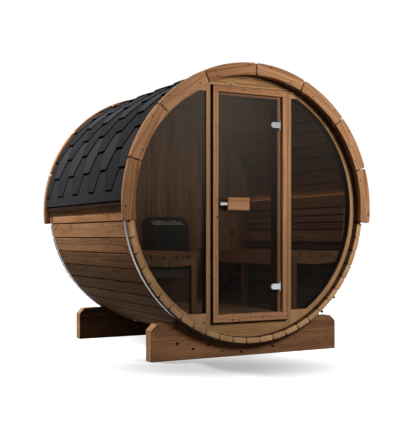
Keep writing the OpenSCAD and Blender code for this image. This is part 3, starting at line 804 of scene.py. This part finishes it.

# %% [markdown]
# Hexagonal shingles come as strips with three tabs, laid from the eave up, each row half a tab on. One
# row is a surface over the way along the barrel and the way up the roof: its lower edge follows the tabs,
# and it sinks under the next row. Each row has a lower side too, a felt's thickness below the upper one,
# so every tab has a real cut edge and throws a real shadow. A narrow band of the top along each tab's
# edge is painted black as shade.

# %% Shingles
TAB = 366 * MM
FLAT = TAB / 3
EXPOSURE = np.radians(8.8)
FIRST_FLAT = np.radians(84.5)
COVER = 2.15
FELT_THICK = 8 * MM
CREST = 1 * MM
LIFT = 13 * MM
ROW_STEP = 30 * MM
ROW_SHIFT = 40 * MM
NEAR_RIDGE = np.radians(0.5)
roof_last, roof_inner, roof_outer = span_of("roof_shingles")[1:]
roof_low, roof_high = box_of("roof_shingles")
print(f"roof from radius {roof_inner:.4f} to {roof_outer:.4f}, to angle {np.degrees(roof_last):.1f}")


def tab_wave(y):
    """0 along a tab's flat end, 1 along the notch between two tabs, and straight between them."""
    return np.interp(y % TAB, [0, FLAT, 1.5 * FLAT, 2.5 * FLAT, 3 * FLAT], [0, 0, 1, 1, 0])


def shingle_row(flat_angle, shift, side, lowest, wave=1.0):
    """Surface of one row: at y and share u of the way up, the angle is edge(y) + u (top - edge(y)),
    and the distance from the axis falls evenly on the way up from the tabs' flat ends."""
    starts = np.arange(-2, 8)[:, None] * TAB + shift
    corners = (starts + np.array([0, FLAT, 1.5 * FLAT, 2.5 * FLAT])).ravel() + roof_low[1]
    inside = corners[(corners > roof_low[1] + 1 * MM) & (corners < roof_high[1] - 1 * MM)]
    y = np.sort(np.concatenate([[roof_low[1]], inside, [roof_high[1]]]))
    steps = np.maximum(1, np.ceil(np.diff(y) / ROW_STEP).astype(int))
    y = np.concatenate([np.linspace(a, b, n, endpoint=False) for a, b, n in zip(y, y[1:], steps)] + [y[-1:]])
    edge = flat_angle - wave * tab_wave(y - roof_low[1] - shift) * EXPOSURE
    edge = np.clip(edge, NEAR_RIDGE, lowest)
    top = max(flat_angle - COVER * EXPOSURE, 0)
    share = np.array([0, 0.028, 0.15, 0.3, 0.45, 0.6, 0.8, 1.0])
    upper = edge[:, None] + share[None, :] * (top - edge[:, None])
    surface = roof_outer + CREST - LIFT * (flat_angle - upper) / (COVER * EXPOSURE)
    return felt_sheet(y, upper, surface, side)


def felt_sheet(y, upper, surface, side=1):
    """A board of felt with cut edges. For each y it has points at the angles upper and the distances
    surface from the axis, and the same points again in the other order, a felt's thickness lower. The first
    narrow band of the top, along the edge, takes the cut finish as painted shade."""
    angle = np.hstack([upper, upper[:, ::-1]]) * side
    radius = np.hstack([surface, surface[:, ::-1] - FELT_THICK])
    rows, count = angle.shape
    points = np.stack([radius * np.sin(angle), np.repeat(y[:, None], count, 1), radius * np.cos(angle)], -1)
    loops, sizes = tube_faces(rows, count)
    here = np.arange(count)
    # The cut sides, and as painted shade the first narrow band of the top along the edge, take the cut
    # finish.
    is_cut_or_shade_band = (here >= count // 2 - 1) | (here == 0)
    cut = np.append(np.tile(is_cut_or_shade_band, rows - 1).astype(int), [1, 1])
    return board(Solid(points.reshape(-1, 3), loops, sizes, cut), AXIS, end_finish=1)


def shingle_rows():
    """The rows of both sides, each on a starter strip with no tabs."""
    rows = []
    lowest = roof_last - 2 * MM / barrel_radius
    for side in (-1, 1):
        rows.append(shingle_row(lowest + 0.3 * EXPOSURE, 0, side, lowest, 0.0))
        for k in range(int(np.ceil((FIRST_FLAT + EXPOSURE) / EXPOSURE))):
            flat_angle = FIRST_FLAT + EXPOSURE - k * EXPOSURE
            shift = (1.5 * FLAT if k % 2 else 0) + ROW_SHIFT
            rows.append(shingle_row(flat_angle, shift, side, lowest))
    return rows


roof_rows = shingle_rows()
print(len(roof_rows), "rows of shingles")

# %% [markdown]
# Along the top, where the two slopes meet, single pieces of felt are bent over the ridge. They follow
# each other along it, each with its front edge over the back end of the one before it.

# %% Ridge caps
RIDGE_SPAN = np.radians(6.8)
RIDGE_EXPOSED = 225 * MM
CAP_RISE, CAP_FALL = 7 * MM, 5 * MM


def ridge_caps():
    """Caps along the top: each is a strip bent over the ridge, narrower at its two ends, whose distance
    from the axis falls from its front edge to its back."""
    length = 1.35 * RIDGE_EXPOSED
    along = np.array([0, 0.2, 0.5, 0.8, 1.0])
    width = np.interp(along, [0, 0.2, 0.8, 1], [0.7, 1, 1, 0.7])
    upper = width[:, None] * np.linspace(-RIDGE_SPAN, RIDGE_SPAN, 11)[None, :]
    surface = np.broadcast_to((roof_outer + CAP_RISE - CAP_FALL * along)[:, None], upper.shape)
    starts = np.arange(roof_high[1] - length, roof_low[1] - RIDGE_EXPOSED, -RIDGE_EXPOSED)
    return [felt_sheet(np.maximum(start + along * length, roof_low[1]), upper, surface) for start in starts]


make_piece("shingles", roof_rows + ridge_caps(), [felt, felt_cut_and_shade], replaces=["roof_shingles"])

# %% [markdown]
# The back wall and the floor are rows of boards that are cut to their place: the wall's boards stand
# upright and end on the circle, the floor's run along the barrel. Each board's outline is worked out
# from the two lines that bound it, and its eased edges make the V-grooves between boards. The wall's
# boards run a little way into each other, as tongue and groove do, so no light comes through a joint.

# %% Back wall and floor
WALL_BOARD = 91 * MM
WALL_JOINT = -34 * MM
FLOOR_BOARD = 118 * MM
TONGUE = 0.3 * MM
RIM_GAP = 2 * MM
V_EDGE = 2.2 * MM


def disc_strip(left, right, radius):
    """Outline of the part of a disc between two upright lines: both ends follow z = sqrt(r^2 - x^2)."""
    x = np.linspace(left, right, 9)
    z = np.sqrt(np.maximum(radius**2 - x**2, 1e-6))
    return np.vstack([np.column_stack([x, -z]), np.column_stack([x, z])[::-1]])


def disc_boards(low, high, radius):
    """Upright boards that fill a disc, with the outer ones at least a quarter of a board wide."""
    edges = WALL_JOINT + np.arange(-20, 21) * WALL_BOARD
    rim = radius - RIM_GAP
    edges = np.concatenate([[-rim], edges[abs(edges) < radius - WALL_BOARD / 4], [rim]])
    stations = eased_ends(low, high, V_EDGE)
    spans = zip(edges[:-1] - TONGUE, edges[1:] + TONGUE)
    return [board(carried(disc_strip(left, right, radius), stations), AXIS, ALONG_Y, (1, 0, 2))
            for left, right in spans]


make_piece("back_wall_boards", disc_boards(wall_low[1], wall_high[1], cabin_radius), [lining_wood],
           replaces=["back_wall"])


def floor_boards():
    """Floor boards along the barrel, side by side from its middle; the outer ones are cut to the floor."""
    low, high = box_of("floor")
    half = min(-low[0], high[0])
    foot = np.sqrt(cabin_radius**2 - (axis_z - low[2]) ** 2)
    edges = (np.arange(-9, 11) - 0.5) * FLOOR_BOARD
    edges = np.concatenate([[-half], edges[abs(edges) < foot - 20 * MM], [half]])
    stations = eased_ends(low[1], high[1], V_EDGE)
    boards = []
    for left, right in zip(edges[:-1], edges[1:]):
        corners = [(max(left, -foot), low[2]), (min(right, foot), low[2]), (right, high[2]), (left, high[2])]
        boards.append(board(carried(eased(corners, V_EDGE, 2), stations), turn=ALONG_Y))
    return boards


make_piece("floor_boards", floor_boards(), [floor_wood], replaces=["floor"])

# %% [markdown]
# The glazed front: posts, panels, window frames and the door frame keep the shape that the CAD model
# gives them, with eased edges. What differs is the wood: the door frame is redder and straight grained,
# and the panels over and under the door are wide, lighter boards whose rings show as broad arches. The
# cradle beams get the same easing, with end grain on their sawn ends, and so do the battens at the eaves.

# %% Front wall, door frame and cradles
eased_copy("front_posts", ["wall_post_left", "wall_post_right"], [wall_wood], UPRIGHT)
eased_copy("front_panels", ["wall_head_panel", "wall_sill_panel"], [panel_wood], SIDEWAYS)
eased_copy("window_frames", ["window_frame_left", "window_frame_right"], [wall_wood], UPRIGHT)
eased_copy("door_frame_stiles", ["door_frame_latch_stile", "door_frame_hinge_stile"], [frame_wood],
           UPRIGHT, 2.5 * MM)
eased_copy("door_frame_rails", ["door_frame_head", "door_threshold"], [frame_wood], SIDEWAYS,
           2.5 * MM)
eased_copy("cradles", ["cradle_front", "cradle_back"], [cradle_wood, end_wood], SIDEWAYS,
           4 * MM)
eased_copy("battens", ["eave_battens"], [dark_and_painted_shade_wood], ALONG_EDGE, 3 * MM)

# %% [markdown]
# The screws that hold the trim boards and the door frame are what shows of how the sauna is put
# together. A head is a profile turned round its axis: distance and height over one parameter, angle over
# the other. The heads have a small recess for the driver, and stand less than a millimetre off the wood.

# %% Screws
HEAD = 6 * MM
STILE_FACE = 45 * MM
ALONG_BOARD = np.array([0.22, 0.8])
FROM_INSIDE, FROM_OUTSIDE = 20 * MM, 18 * MM


def circle_points(count):
    """Points of a circle of radius 1: at angle a the point is (cos a, sin a)."""
    turn = np.arange(count) * 2 * np.pi / count
    return np.column_stack([np.cos(turn), np.sin(turn)])


def screw_head():
    """The point (u, v) is at distance r(u), height h(u) and angle v, round a shallow recess."""
    r = np.array([1.0, 1.0, 0.86, 0.5, 0.36, 0.3]) * HEAD
    h = np.array([-0.5, 0.35, 0.7, 0.75, 0.7, 0.15]) * MM
    outline = circle_points(12)
    rings = [np.column_stack([outline * ring, np.full(len(outline), up)]) for ring, up in zip(r, h)]
    return carried(outline, [(k, 0) for k in range(len(r))])._replace(points=np.vstack(rings))


def screws(places):
    """Screw heads on faces that look to the front or the back, at rows of x, y, z and facing."""
    head = screw_head()
    return [board(head, place[:3], [AXES[0] * -place[3], AXES[2], AXES[1] * place[3]]) for place in places]


def ring_screws(node, facing):
    """Two screws in each trim board, one near its outer edge and one near its inner edge."""
    first, last, inner, outer = span_of(node)
    span = (last - first) / RING_BOARDS
    k = np.arange(RING_BOARDS)[:, None]
    angle = first + (k + ALONG_BOARD) * span + chance.uniform(-0.03, 0.03, (RING_BOARDS, 2))
    reach = np.where((k + np.arange(2)) % 2, inner + FROM_INSIDE, outer - FROM_OUTSIDE)
    x, z = (reach * np.sin(angle)).ravel(), (axis_z + reach * np.cos(angle)).ravel()
    return np.column_stack([x, np.full(len(x), ring_face(node, facing)), z, np.full(len(x), facing)])


def frame_screws():
    """Screws down the latch stile in pairs, and along the head and the threshold."""
    stile_low, stile_high = box_of("door_frame_latch_stile")
    head_low, head_high = box_of("door_frame_head")
    sill_low = box_of("door_threshold")[0]
    face, wide, tall = stile_low[1], head_high[0] - head_low[0], stile_high[2] - stile_low[2]
    middle = (stile_low[0] + min(stile_high[0], stile_low[0] + STILE_FACE)) / 2
    places = [(middle, stile_low[2] + share * tall) for share in (0.16, 0.255, 0.74, 0.835)]
    places += [(head_low[0] + share * wide, head_high[2] - 16 * MM) for share in (0.2, 0.4, 0.62, 0.86)]
    places += [(sill_low[0] + share * wide, sill_low[2] + lift * MM)
               for share, lift in ((0.34, 12), (0.49, 34), (0.66, 26))]
    return np.array([(x, face, z, -1) for x, z in places])


make_piece("screws", screws(np.vstack([ring_screws("fascia_front", -1), ring_screws("fascia_back", 1),
                                       frame_screws()])), [screw_steel])

# %% [markdown]
# Hoops, hinges and glass keep their CAD shape: they are plain machined or cut parts, so what they need
# is a finish. The door's own pieces ride on the body named door, and swing with it.

# %% Metal and glass
for node, finish in {"hoops": hoop_steel, "window_glass_left": glass, "window_glass_right": glass,
                     "door_glass": glass, "light_strips": warm_light}.items():
    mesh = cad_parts[node].data
    mesh.materials.clear()
    mesh.materials.append(finish)
eased_copy("hinge_sockets", ["hinge_plates"], [satin_metal], UPRIGHT, 1 * MM)
eased_copy("hinge_clamps", ["door_hinge_clamps"], [satin_metal], UPRIGHT, 1 * MM, "door")
eased_copy("handle_blocks", ["door_handles"], [frame_wood], SIDEWAYS, 5 * MM, "door", 3)
eased_copy("latch_roller", ["door_latch"], [satin_metal], ACROSS, 1 * MM, "door")

# %% [markdown]
# The latch is a sprung roller in a small dark housing on the inner face of the glass. The housing is a
# rounded block against the glass, at the roller's height, and swings with the door.

# %% Latch housing
CATCH = np.array([44, 24, 82]) * MM
roller_low, roller_high = box_of("door_latch")
glass_low, glass_high = box_of("door_glass")
catch = carried(rectangle(CATCH[0], CATCH[1], 5 * MM), eased_ends(-CATCH[2] / 2, CATCH[2] / 2, 3 * MM))
catch_place = (glass_low[0] + CATCH[0] / 2 + 2 * MM, glass_high[1] + CATCH[1] / 2,
               (roller_low[2] + roller_high[2]) / 2)
print("latch roller", np.round(roller_low, 3), np.round(roller_high, 3), "glass", np.round(glass_low, 3))
make_piece("latch_catch", [board(catch, catch_place)], [black_steel], body="door")

# %% [markdown]
# Two bolts and a threaded rod pull the ends of each hoop together. On the real thing a hexagonal nut sits
# at both ends of each bolt. A nut is a hexagon carried along the bolt, away from the barrel's axis.

# %% Hoop bolts and nuts
BOLT = 12 * MM
NUT_WIDE = 26 * MM
NUT_TALL = 15 * MM
eased_copy("hoop_bolts", ["hoop_tensioners"], [black_steel], ALONG, 0.6 * MM)


def bolt_nuts():
    """A hexagonal nut at the head and one at the foot of each of the bolts that pull a hoop together."""
    first, last, foot, top = span_of("hoop_tensioners")
    low, high = box_of("hoop_tensioners")
    aside = BOLT / 2 / foot
    nuts = []
    for y in (low[1] + BOLT / 2, high[1] - BOLT / 2):
        for angle in (first + aside, last - aside):
            along, away, back = np.array(radial(angle))
            for level in (foot, top - NUT_TALL - 2 * MM):
                nut = carried(circle_points(6) * NUT_WIDE / 2, eased_ends(level, level + NUT_TALL, 1.5 * MM))
                nuts.append(board(nut, (0, y, axis_z), (along, back, away)))
    return nuts


make_piece("hoop_nuts", bolt_nuts(), [black_steel])

# %% [markdown]
# Inside are two benches with a hollow seat, two leaning backrests with a lamp strip behind them, and the
# heater on the back wall. They are seen through the tinted glass, so their outlines and the gaps between
# boards matter most.

# %% Benches and backrests
eased_copy("bench_seats", ["bench_left", "bench_right"], [bench_wood], ALONG, 4 * MM)
eased_copy("bench_supports", ["bench_frames_left", "bench_frames_right"], [bench_wood], UPRIGHT)
eased_copy("backrests", ["backrest_left", "backrest_right"], [bench_wood], ALONG_EDGE,
           2.5 * MM)

# %% [markdown]
# The lamp strips lie behind the backrests. Each has a wooden block at its front end and a batten below,
# which keeps its light off the wall. These and the next pieces are plain strips along the barrel, so one
# helper makes them all from a middle, a width, a height and two ends.

# %% Lamp strip blocks and ledges
def strip_along(x, z, wide, tall, start, end):
    """A strip along Y from start to end, whose cross-section is a rectangle about (x, z)."""
    solid = carried(rectangle(wide, tall, 1 * MM), [(start, 0), (end, 0)])
    return board(solid, (x, 0, z), ALONG_Y)


CAP_EDGE = 2 * MM
CAP_LENGTH = 16 * MM
LEDGE_WIDE, LEDGE_TALL = 38 * MM, 14 * MM
LEDGE_OUT = 4 * MM


def strip_caps():
    """A wooden block at the front end of each lamp strip, a little wider than the strip."""
    points = corner_points("light_strips")
    caps = []
    for side in (-1, 1):
        strip = points[points[:, 0] * side > 0]
        low, high = strip.min(axis=0), strip.max(axis=0)
        middle, size = (low + high) / 2, high - low + CAP_EDGE
        start = low[1] - CAP_EDGE
        caps.append(strip_along(middle[0], middle[2], size[0], size[2], start, start + CAP_LENGTH))
    return caps


def strip_ledges():
    """A batten under each lamp strip, which keeps its light off the wall behind the backrest."""
    low, high = box_of("light_strips")
    return [strip_along(side * (high[0] - LEDGE_OUT), low[2] - LEDGE_TALL, LEDGE_WIDE, LEDGE_TALL,
                        low[1], high[1]) for side in (-1, 1)]


make_piece("strip_caps", strip_caps(), [dark_wood])

# %% [markdown]
# Behind the glass edges the wall is as thick as the posts, and seen from the side its cut edges lie in
# shade as dark bands. Thin strips line each opening from the glass back into the cabin and give that
# depth, painted dark as that shade: round a window they follow its arc, its post and its two short level
# edges. A black strip round the door frame, from its face back to the wall, is painted shade on the
# frame's proud sides.

# %% Linings and a strip of painted shade
LINING = 5 * MM
SHADE_STRIP = 3.5 * MM
LINING_BACK = -772 * MM
DOOR_LINING_BACK = LINING_BACK + 40 * MM


def opening_linings():
    """Dark strips of painted shade round each window. The arc's outline is the circle's points at distance r
    from the axis, and the same points a lining's thickness nearer to it."""
    outlines = []
    for node, side in (("window_glass_left", -1), ("window_glass_right", 1)):
        low, high = box_of(node)
        post, reach = sorted(abs(np.array([low[0], high[0]])))
        foot, top = low[2] - axis_z, high[2] - axis_z
        stop = np.arccos(top / reach)
        turn = np.linspace(stop, np.pi - stop, 49)[:, None]
        arc = np.hstack([np.sin(turn), np.cos(turn)])
        end, inner_post = reach * np.sin(stop), post + LINING
        shapes = [np.vstack([arc * reach, (arc * (reach - LINING))[::-1]]),
                  [(post, foot), (end, foot), (end, foot + LINING), (post, foot + LINING)],
                  [(post, top), (end, top), (end, top - LINING), (post, top - LINING)],
                  [(post, -top), (inner_post, -top), (inner_post, top), (post, top)]]
        outlines += [np.array(shape) * [side, 1] for shape in shapes]
    stations = [(high[1] + 0.5 * MM, 0), (LINING_BACK, 0)]
    return [board(carried(outline, stations), AXIS, ALONG_Y) for outline in outlines]


def door_lining():
    """The same strips behind the door glass, at its two sides and its head."""
    latch, hinge = box_of("door_frame_latch_stile"), box_of("door_frame_hinge_stile")
    left, right = latch[1][0], hinge[0][0]
    head, foot = box_of("door_frame_head")[0][2], latch[0][2]
    depth = (box_of("window_glass_left")[1][1], DOOR_LINING_BACK)
    sides = [strip_along(x, (head + foot) / 2, LINING, head - foot, *depth)
             for x in (left + LINING / 2, right - LINING / 2)]
    return sides + [strip_along((left + right) / 2, head - LINING / 2, right - left, LINING, *depth)]


def frame_shade_strip():
    """A thin black strip round the outside of the door frame, from its face back to the wall, as painted
    shade on the frame's sides.
    """
    low, high = box_of("door_threshold")[0], box_of("door_frame_head")[1]
    depth = (low[1] + 2 * MM, box_of("wall_post_left")[0][1])
    wide, tall = high[0] - low[0] + 2 * SHADE_STRIP, high[2] - low[2] + 2 * SHADE_STRIP
    middle = (low + high) / 2
    sides = [strip_along(x, middle[2], SHADE_STRIP, tall, *depth) for x in (low[0] - SHADE_STRIP / 2, high[0] + SHADE_STRIP / 2)]
    return sides + [strip_along(middle[0], z, wide, SHADE_STRIP, *depth)
                    for z in (low[2] - SHADE_STRIP / 2, high[2] + SHADE_STRIP / 2)]


make_piece("opening_linings", opening_linings() + door_lining(), [dark_and_painted_shade_wood])
make_piece("frame_shade_strip", frame_shade_strip(), [felt_cut_and_shade])
make_piece("strip_ledges", strip_ledges(), [dark_and_painted_shade_wood])

# %% [markdown]
# Sauna stones are split rock: rounded by handling, but each with its own flats. One stone is a sphere
# over two angles whose radius is pushed in by a few cosine lobes in random directions. They are laid in
# rows over the tray and heaped under the line from the heater's front edge to its ridge.

# %% Heater
ROCK_RINGS, ROCK_SIDES, ROCK_LOBES = 8, 12, 6


def rock(size):
    """Sphere of unit directions d, with radius size (1 - sum of a_k max(0, cos(angle to lobe k))^3)."""
    sides = np.linspace(0, 2 * np.pi, ROCK_SIDES, endpoint=False)
    polar, turn = np.meshgrid(np.linspace(0, np.pi, ROCK_RINGS), sides)
    direction = np.stack([np.sin(polar) * np.cos(turn), np.sin(polar) * np.sin(turn), np.cos(polar)], -1)
    direction = direction.reshape(-1, 3)
    lobes = chance.normal(size=(ROCK_LOBES, 3))
    lobes /= np.linalg.norm(lobes, axis=1, keepdims=True)
    dents = np.maximum(0, direction @ lobes.T) ** 3 @ chance.uniform(0.08, 0.34, ROCK_LOBES)
    points = direction * (size * (1 - dents))[:, None] * chance.uniform(0.8, 1.15, 3)
    index = np.arange(ROCK_SIDES * ROCK_RINGS).reshape(ROCK_SIDES, ROCK_RINGS)
    after = np.roll(index, -1, axis=0)
    quads = np.stack([index[:, :-1], index[:, 1:], after[:, 1:], after[:, :-1]], -1).reshape(-1, 4)
    return Solid(points, quads.ravel(), np.full(len(quads), 4), np.zeros(len(quads), int))


def rock_grey():
    """Split rock: fine crystals, wide veins and a tone for each rock."""
    finish = Finish("rock_grey")
    place = finish.object_place()
    tone = finish.attribute("tone", "Fac")
    crystals = finish.noise(place, 160.0, 4.0, 0.65)
    veins = finish.noise(place, 22.0, 3.0)
    share = (crystals - 0.5) * 0.9 + (veins - 0.5) * 0.7 + (tone - 0.5) * 0.9 + 0.5
    finish.feed({"Base Color": finish.mix(share, colour(110, 109, 106), colour(196, 194, 190))})
    finish.feed({"Roughness": crystals * 0.2 + 0.7, "Normal": finish.bump(crystals, 1.5 * MM, 0.7)})
    return finish.material


ROCK_LAYERS = ((9, 4), (10, 4), (9, 4))
ROCK_LEAST, ROCK_MOST = 17 * MM, 23 * MM
FRONT_DROP = 0.341
LEAST_DEPTH, LAYER_DEPTH = 0.6, 0.9


def heap_of_rocks():
    """Three layers of rows and columns of rocks, the lowest one first. At a share b of the way back,
    the top of the heap lies (1 - b) times the front drop of its height below its highest point."""
    low, high = box_of("heater_stones")
    wide, deep, tall = high - low
    rocks = []
    for layer, (columns, rows) in enumerate(ROCK_LAYERS):
        x, y = np.meshgrid((np.arange(columns) + 0.5) / columns, (np.arange(rows) + 0.5) / rows)
        spots = np.column_stack([x.ravel(), y.ravel()]) + chance.uniform(-0.02, 0.02, (x.size, 2))
        for across, back in np.clip(spots, 0, 1):
            size = chance.uniform(ROCK_LEAST, ROCK_MOST)
            x = low[0] + size + across * (wide - 2 * size)
            y = low[1] + size + back * (deep - 2 * size)
            depth = LEAST_DEPTH + LAYER_DEPTH * (len(ROCK_LAYERS) - 1 - layer)
            z = high[2] - (1 - back) * FRONT_DROP * tall - size * depth
            rocks.append(board(rock(size), (x, y, z)))
    return rocks


eased_copy("heater_casing", ["heater_body"], [heater_black], UPRIGHT)
eased_copy("heater_underside", ["heater_base"], [heater_grey], UPRIGHT, 3 * MM)
make_piece("sauna_stones", heap_of_rocks(), [rock_grey()], replaces=["heater_stones"])

# %% [markdown]
# The floor and the world are white for the camera and in reflections. For every other ray the floor is
# dark and the world is a dome, brighter above than below, so the light on the object comes from above, as
# in a studio. The floor looks white because it gives a light of its own, which would hide the object's
# shadow. So that light and the floor's colour fade in two soft ellipses, one under the barrel and one in
# front of it: the darker colour there is a painted soft shadow, and the lamps' real shadows show in it.

# %% Floor and world
SHADOW_FRONT = {"middle": (-0.5, -1.2), "reach": (1.8, 1.05), "turn": np.radians(-28)}
SHADOW_UNDER = {"middle": (0.0, -0.1), "reach": (0.6, 1.2), "turn": 0.0}
FADE_START = 0.1
LEAST_OWN_LIGHT = 0.21
FLOOR_HALF = 40.0


def studio_floor():
    """The floor's finish: its own light times how clear a place is of both ellipses, and a darker colour in
    them as a painted shadow.
    """
    finish = Finish("studio_floor", {"Roughness": 0.9, "Specular IOR Level": 0.0, "Emission Strength": 1.0})
    path = [finish.node("ShaderNodeLightPath", output=title)
            for title in ("Is Camera Ray", "Is Glossy Ray", "Is Transmission Ray")]
    seen = finish.maths("MINIMUM", path[0] + path[1] + path[2], 1.0)
    place = finish.parts(finish.object_place())

    def outside(middle, reach, turn):
        """0 in an ellipse round middle and 1 away from it."""
        x, y = place[0] - middle[0], place[1] - middle[1]
        along = (x * np.cos(turn) + y * np.sin(turn)) / reach[0]
        across = (y * np.cos(turn) - x * np.sin(turn)) / reach[1]
        return finish.slope((along * along + across * across) ** 0.5, FADE_START, 1.0)

    clear = outside(**SHADOW_FRONT) * outside(**SHADOW_UNDER)
    own = (clear * (1 - LEAST_OWN_LIGHT) + LEAST_OWN_LIGHT) * seen
    # Painted shadow: the floor's colour is darker in the two ellipses.
    floor_painted_shadow = finish.mix(clear, colour(170, 170, 170), colour(242, 242, 242))
    finish.feed({"Base Color": finish.mix(seen, colour(60, 57, 54), floor_painted_shadow)})
    finish.feed({"Emission Color": finish.mix(own, colour(0, 0, 0), colour(255, 255, 255))})
    return finish.material


corners = [(x * FLOOR_HALF, y * FLOOR_HALF, 0) for x, y in ((-1, -1), (1, -1), (1, 1), (-1, 1))]
floor_mesh = bpy.data.meshes.new("studio_floor")
floor_mesh.from_pydata(corners, [], [(0, 1, 2, 3)])
floor_mesh.materials.append(studio_floor())
studio = bpy.data.objects.new("studio_floor", floor_mesh)
bpy.context.scene.collection.objects.link(studio)


def studio_world(above, below):
    """White for the camera and in reflections; for other rays a dome, brighter above than below."""
    world = bpy.data.worlds.new("studio")
    nodes = Nodes(world, "Background", {"Color": (1, 1, 1, 1)})
    path = [nodes.node("ShaderNodeLightPath", output=title) for title in ("Is Camera Ray", "Is Glossy Ray")]
    up = nodes.parts(nodes.node("ShaderNodeTexCoord", output="Generated"))[2]
    dome = nodes.node("ShaderNodeMapRange", inputs={"Value": up, "To Min": below, "To Max": above})
    seen = nodes.maths("MAXIMUM", *path)
    nodes.feed({"Strength": nodes.node("ShaderNodeMix", inputs={0: seen, 2: dome, 3: 1.0})})
    bpy.context.scene.world = world


studio_world(0.3, 0.02)
print("floor", 2 * FLOOR_HALF, "m wide")

# %% [markdown]
# Four lamps light the sauna, as in a small studio, from near enough that what is nearer to them is
# brighter: the key light high on the right in front, which throws the rim's shadow on the cradle, a
# second one high on the left, which rakes over the shingles and the upper staves, a large soft one
# behind, whose shadow falls on the floor in front, and a weak one inside the cabin. None shows in
# reflections, so no pane carries a lamp's mirror image.

# %% Lamps
def lamp(name, place, target, power, size):
    """A square area light at place, facing target."""
    direction = Vector(target) - Vector(place)
    light = bpy.data.lights.new(name, "AREA")
    light.energy = power
    light.size = size
    holder = bpy.data.objects.new(name, light)
    holder.location = place
    holder.rotation_euler = direction.to_track_quat("-Z", "Y").to_euler()
    holder.visible_glossy = False
    bpy.context.scene.collection.objects.link(holder)
    print(f"{name} lamp at {direction.length:.1f} m")


lamp("key", (0.95, -3.35, 2.32), (0, -0.8, 1.0), 86, 0.9)
lamp("left", (-2.6, 1.0, 3.5), (-0.5, 0, 1.2), 150, 0.3)
lamp("back", (2.2, 3.4, 5.0), (0, 0, 1.0), 400, 4.0)
lamp("cabin", (-0.3, -0.5, 1.75), (0.25, 0.45, 0.7), 4.0, 0.4)

# %% [markdown]
# The camera stands 0.9 m above the ground, in front of the left window, and looks level, so upright edges
# stay upright. A small shift frames the object without tilting the view.

# %% Camera
camera_data = bpy.data.cameras.new("camera")
for setting, value in {"lens": 68.9, "sensor_width": 36, "shift_x": 0.004, "shift_y": 0.0462}.items():
    setattr(camera_data, setting, value)
camera = bpy.data.objects.new("camera", camera_data)
camera.location = (-3.230, -6.194, 0.903)
camera.rotation_euler = np.radians((90, 0, -28.017))
bpy.context.scene.collection.objects.link(camera)
bpy.context.scene.camera = camera
bpy.context.scene.view_settings.view_transform = "Standard"
print("camera at", np.round(camera.location, 3))

# %% [markdown]
# The looks must not change the size.
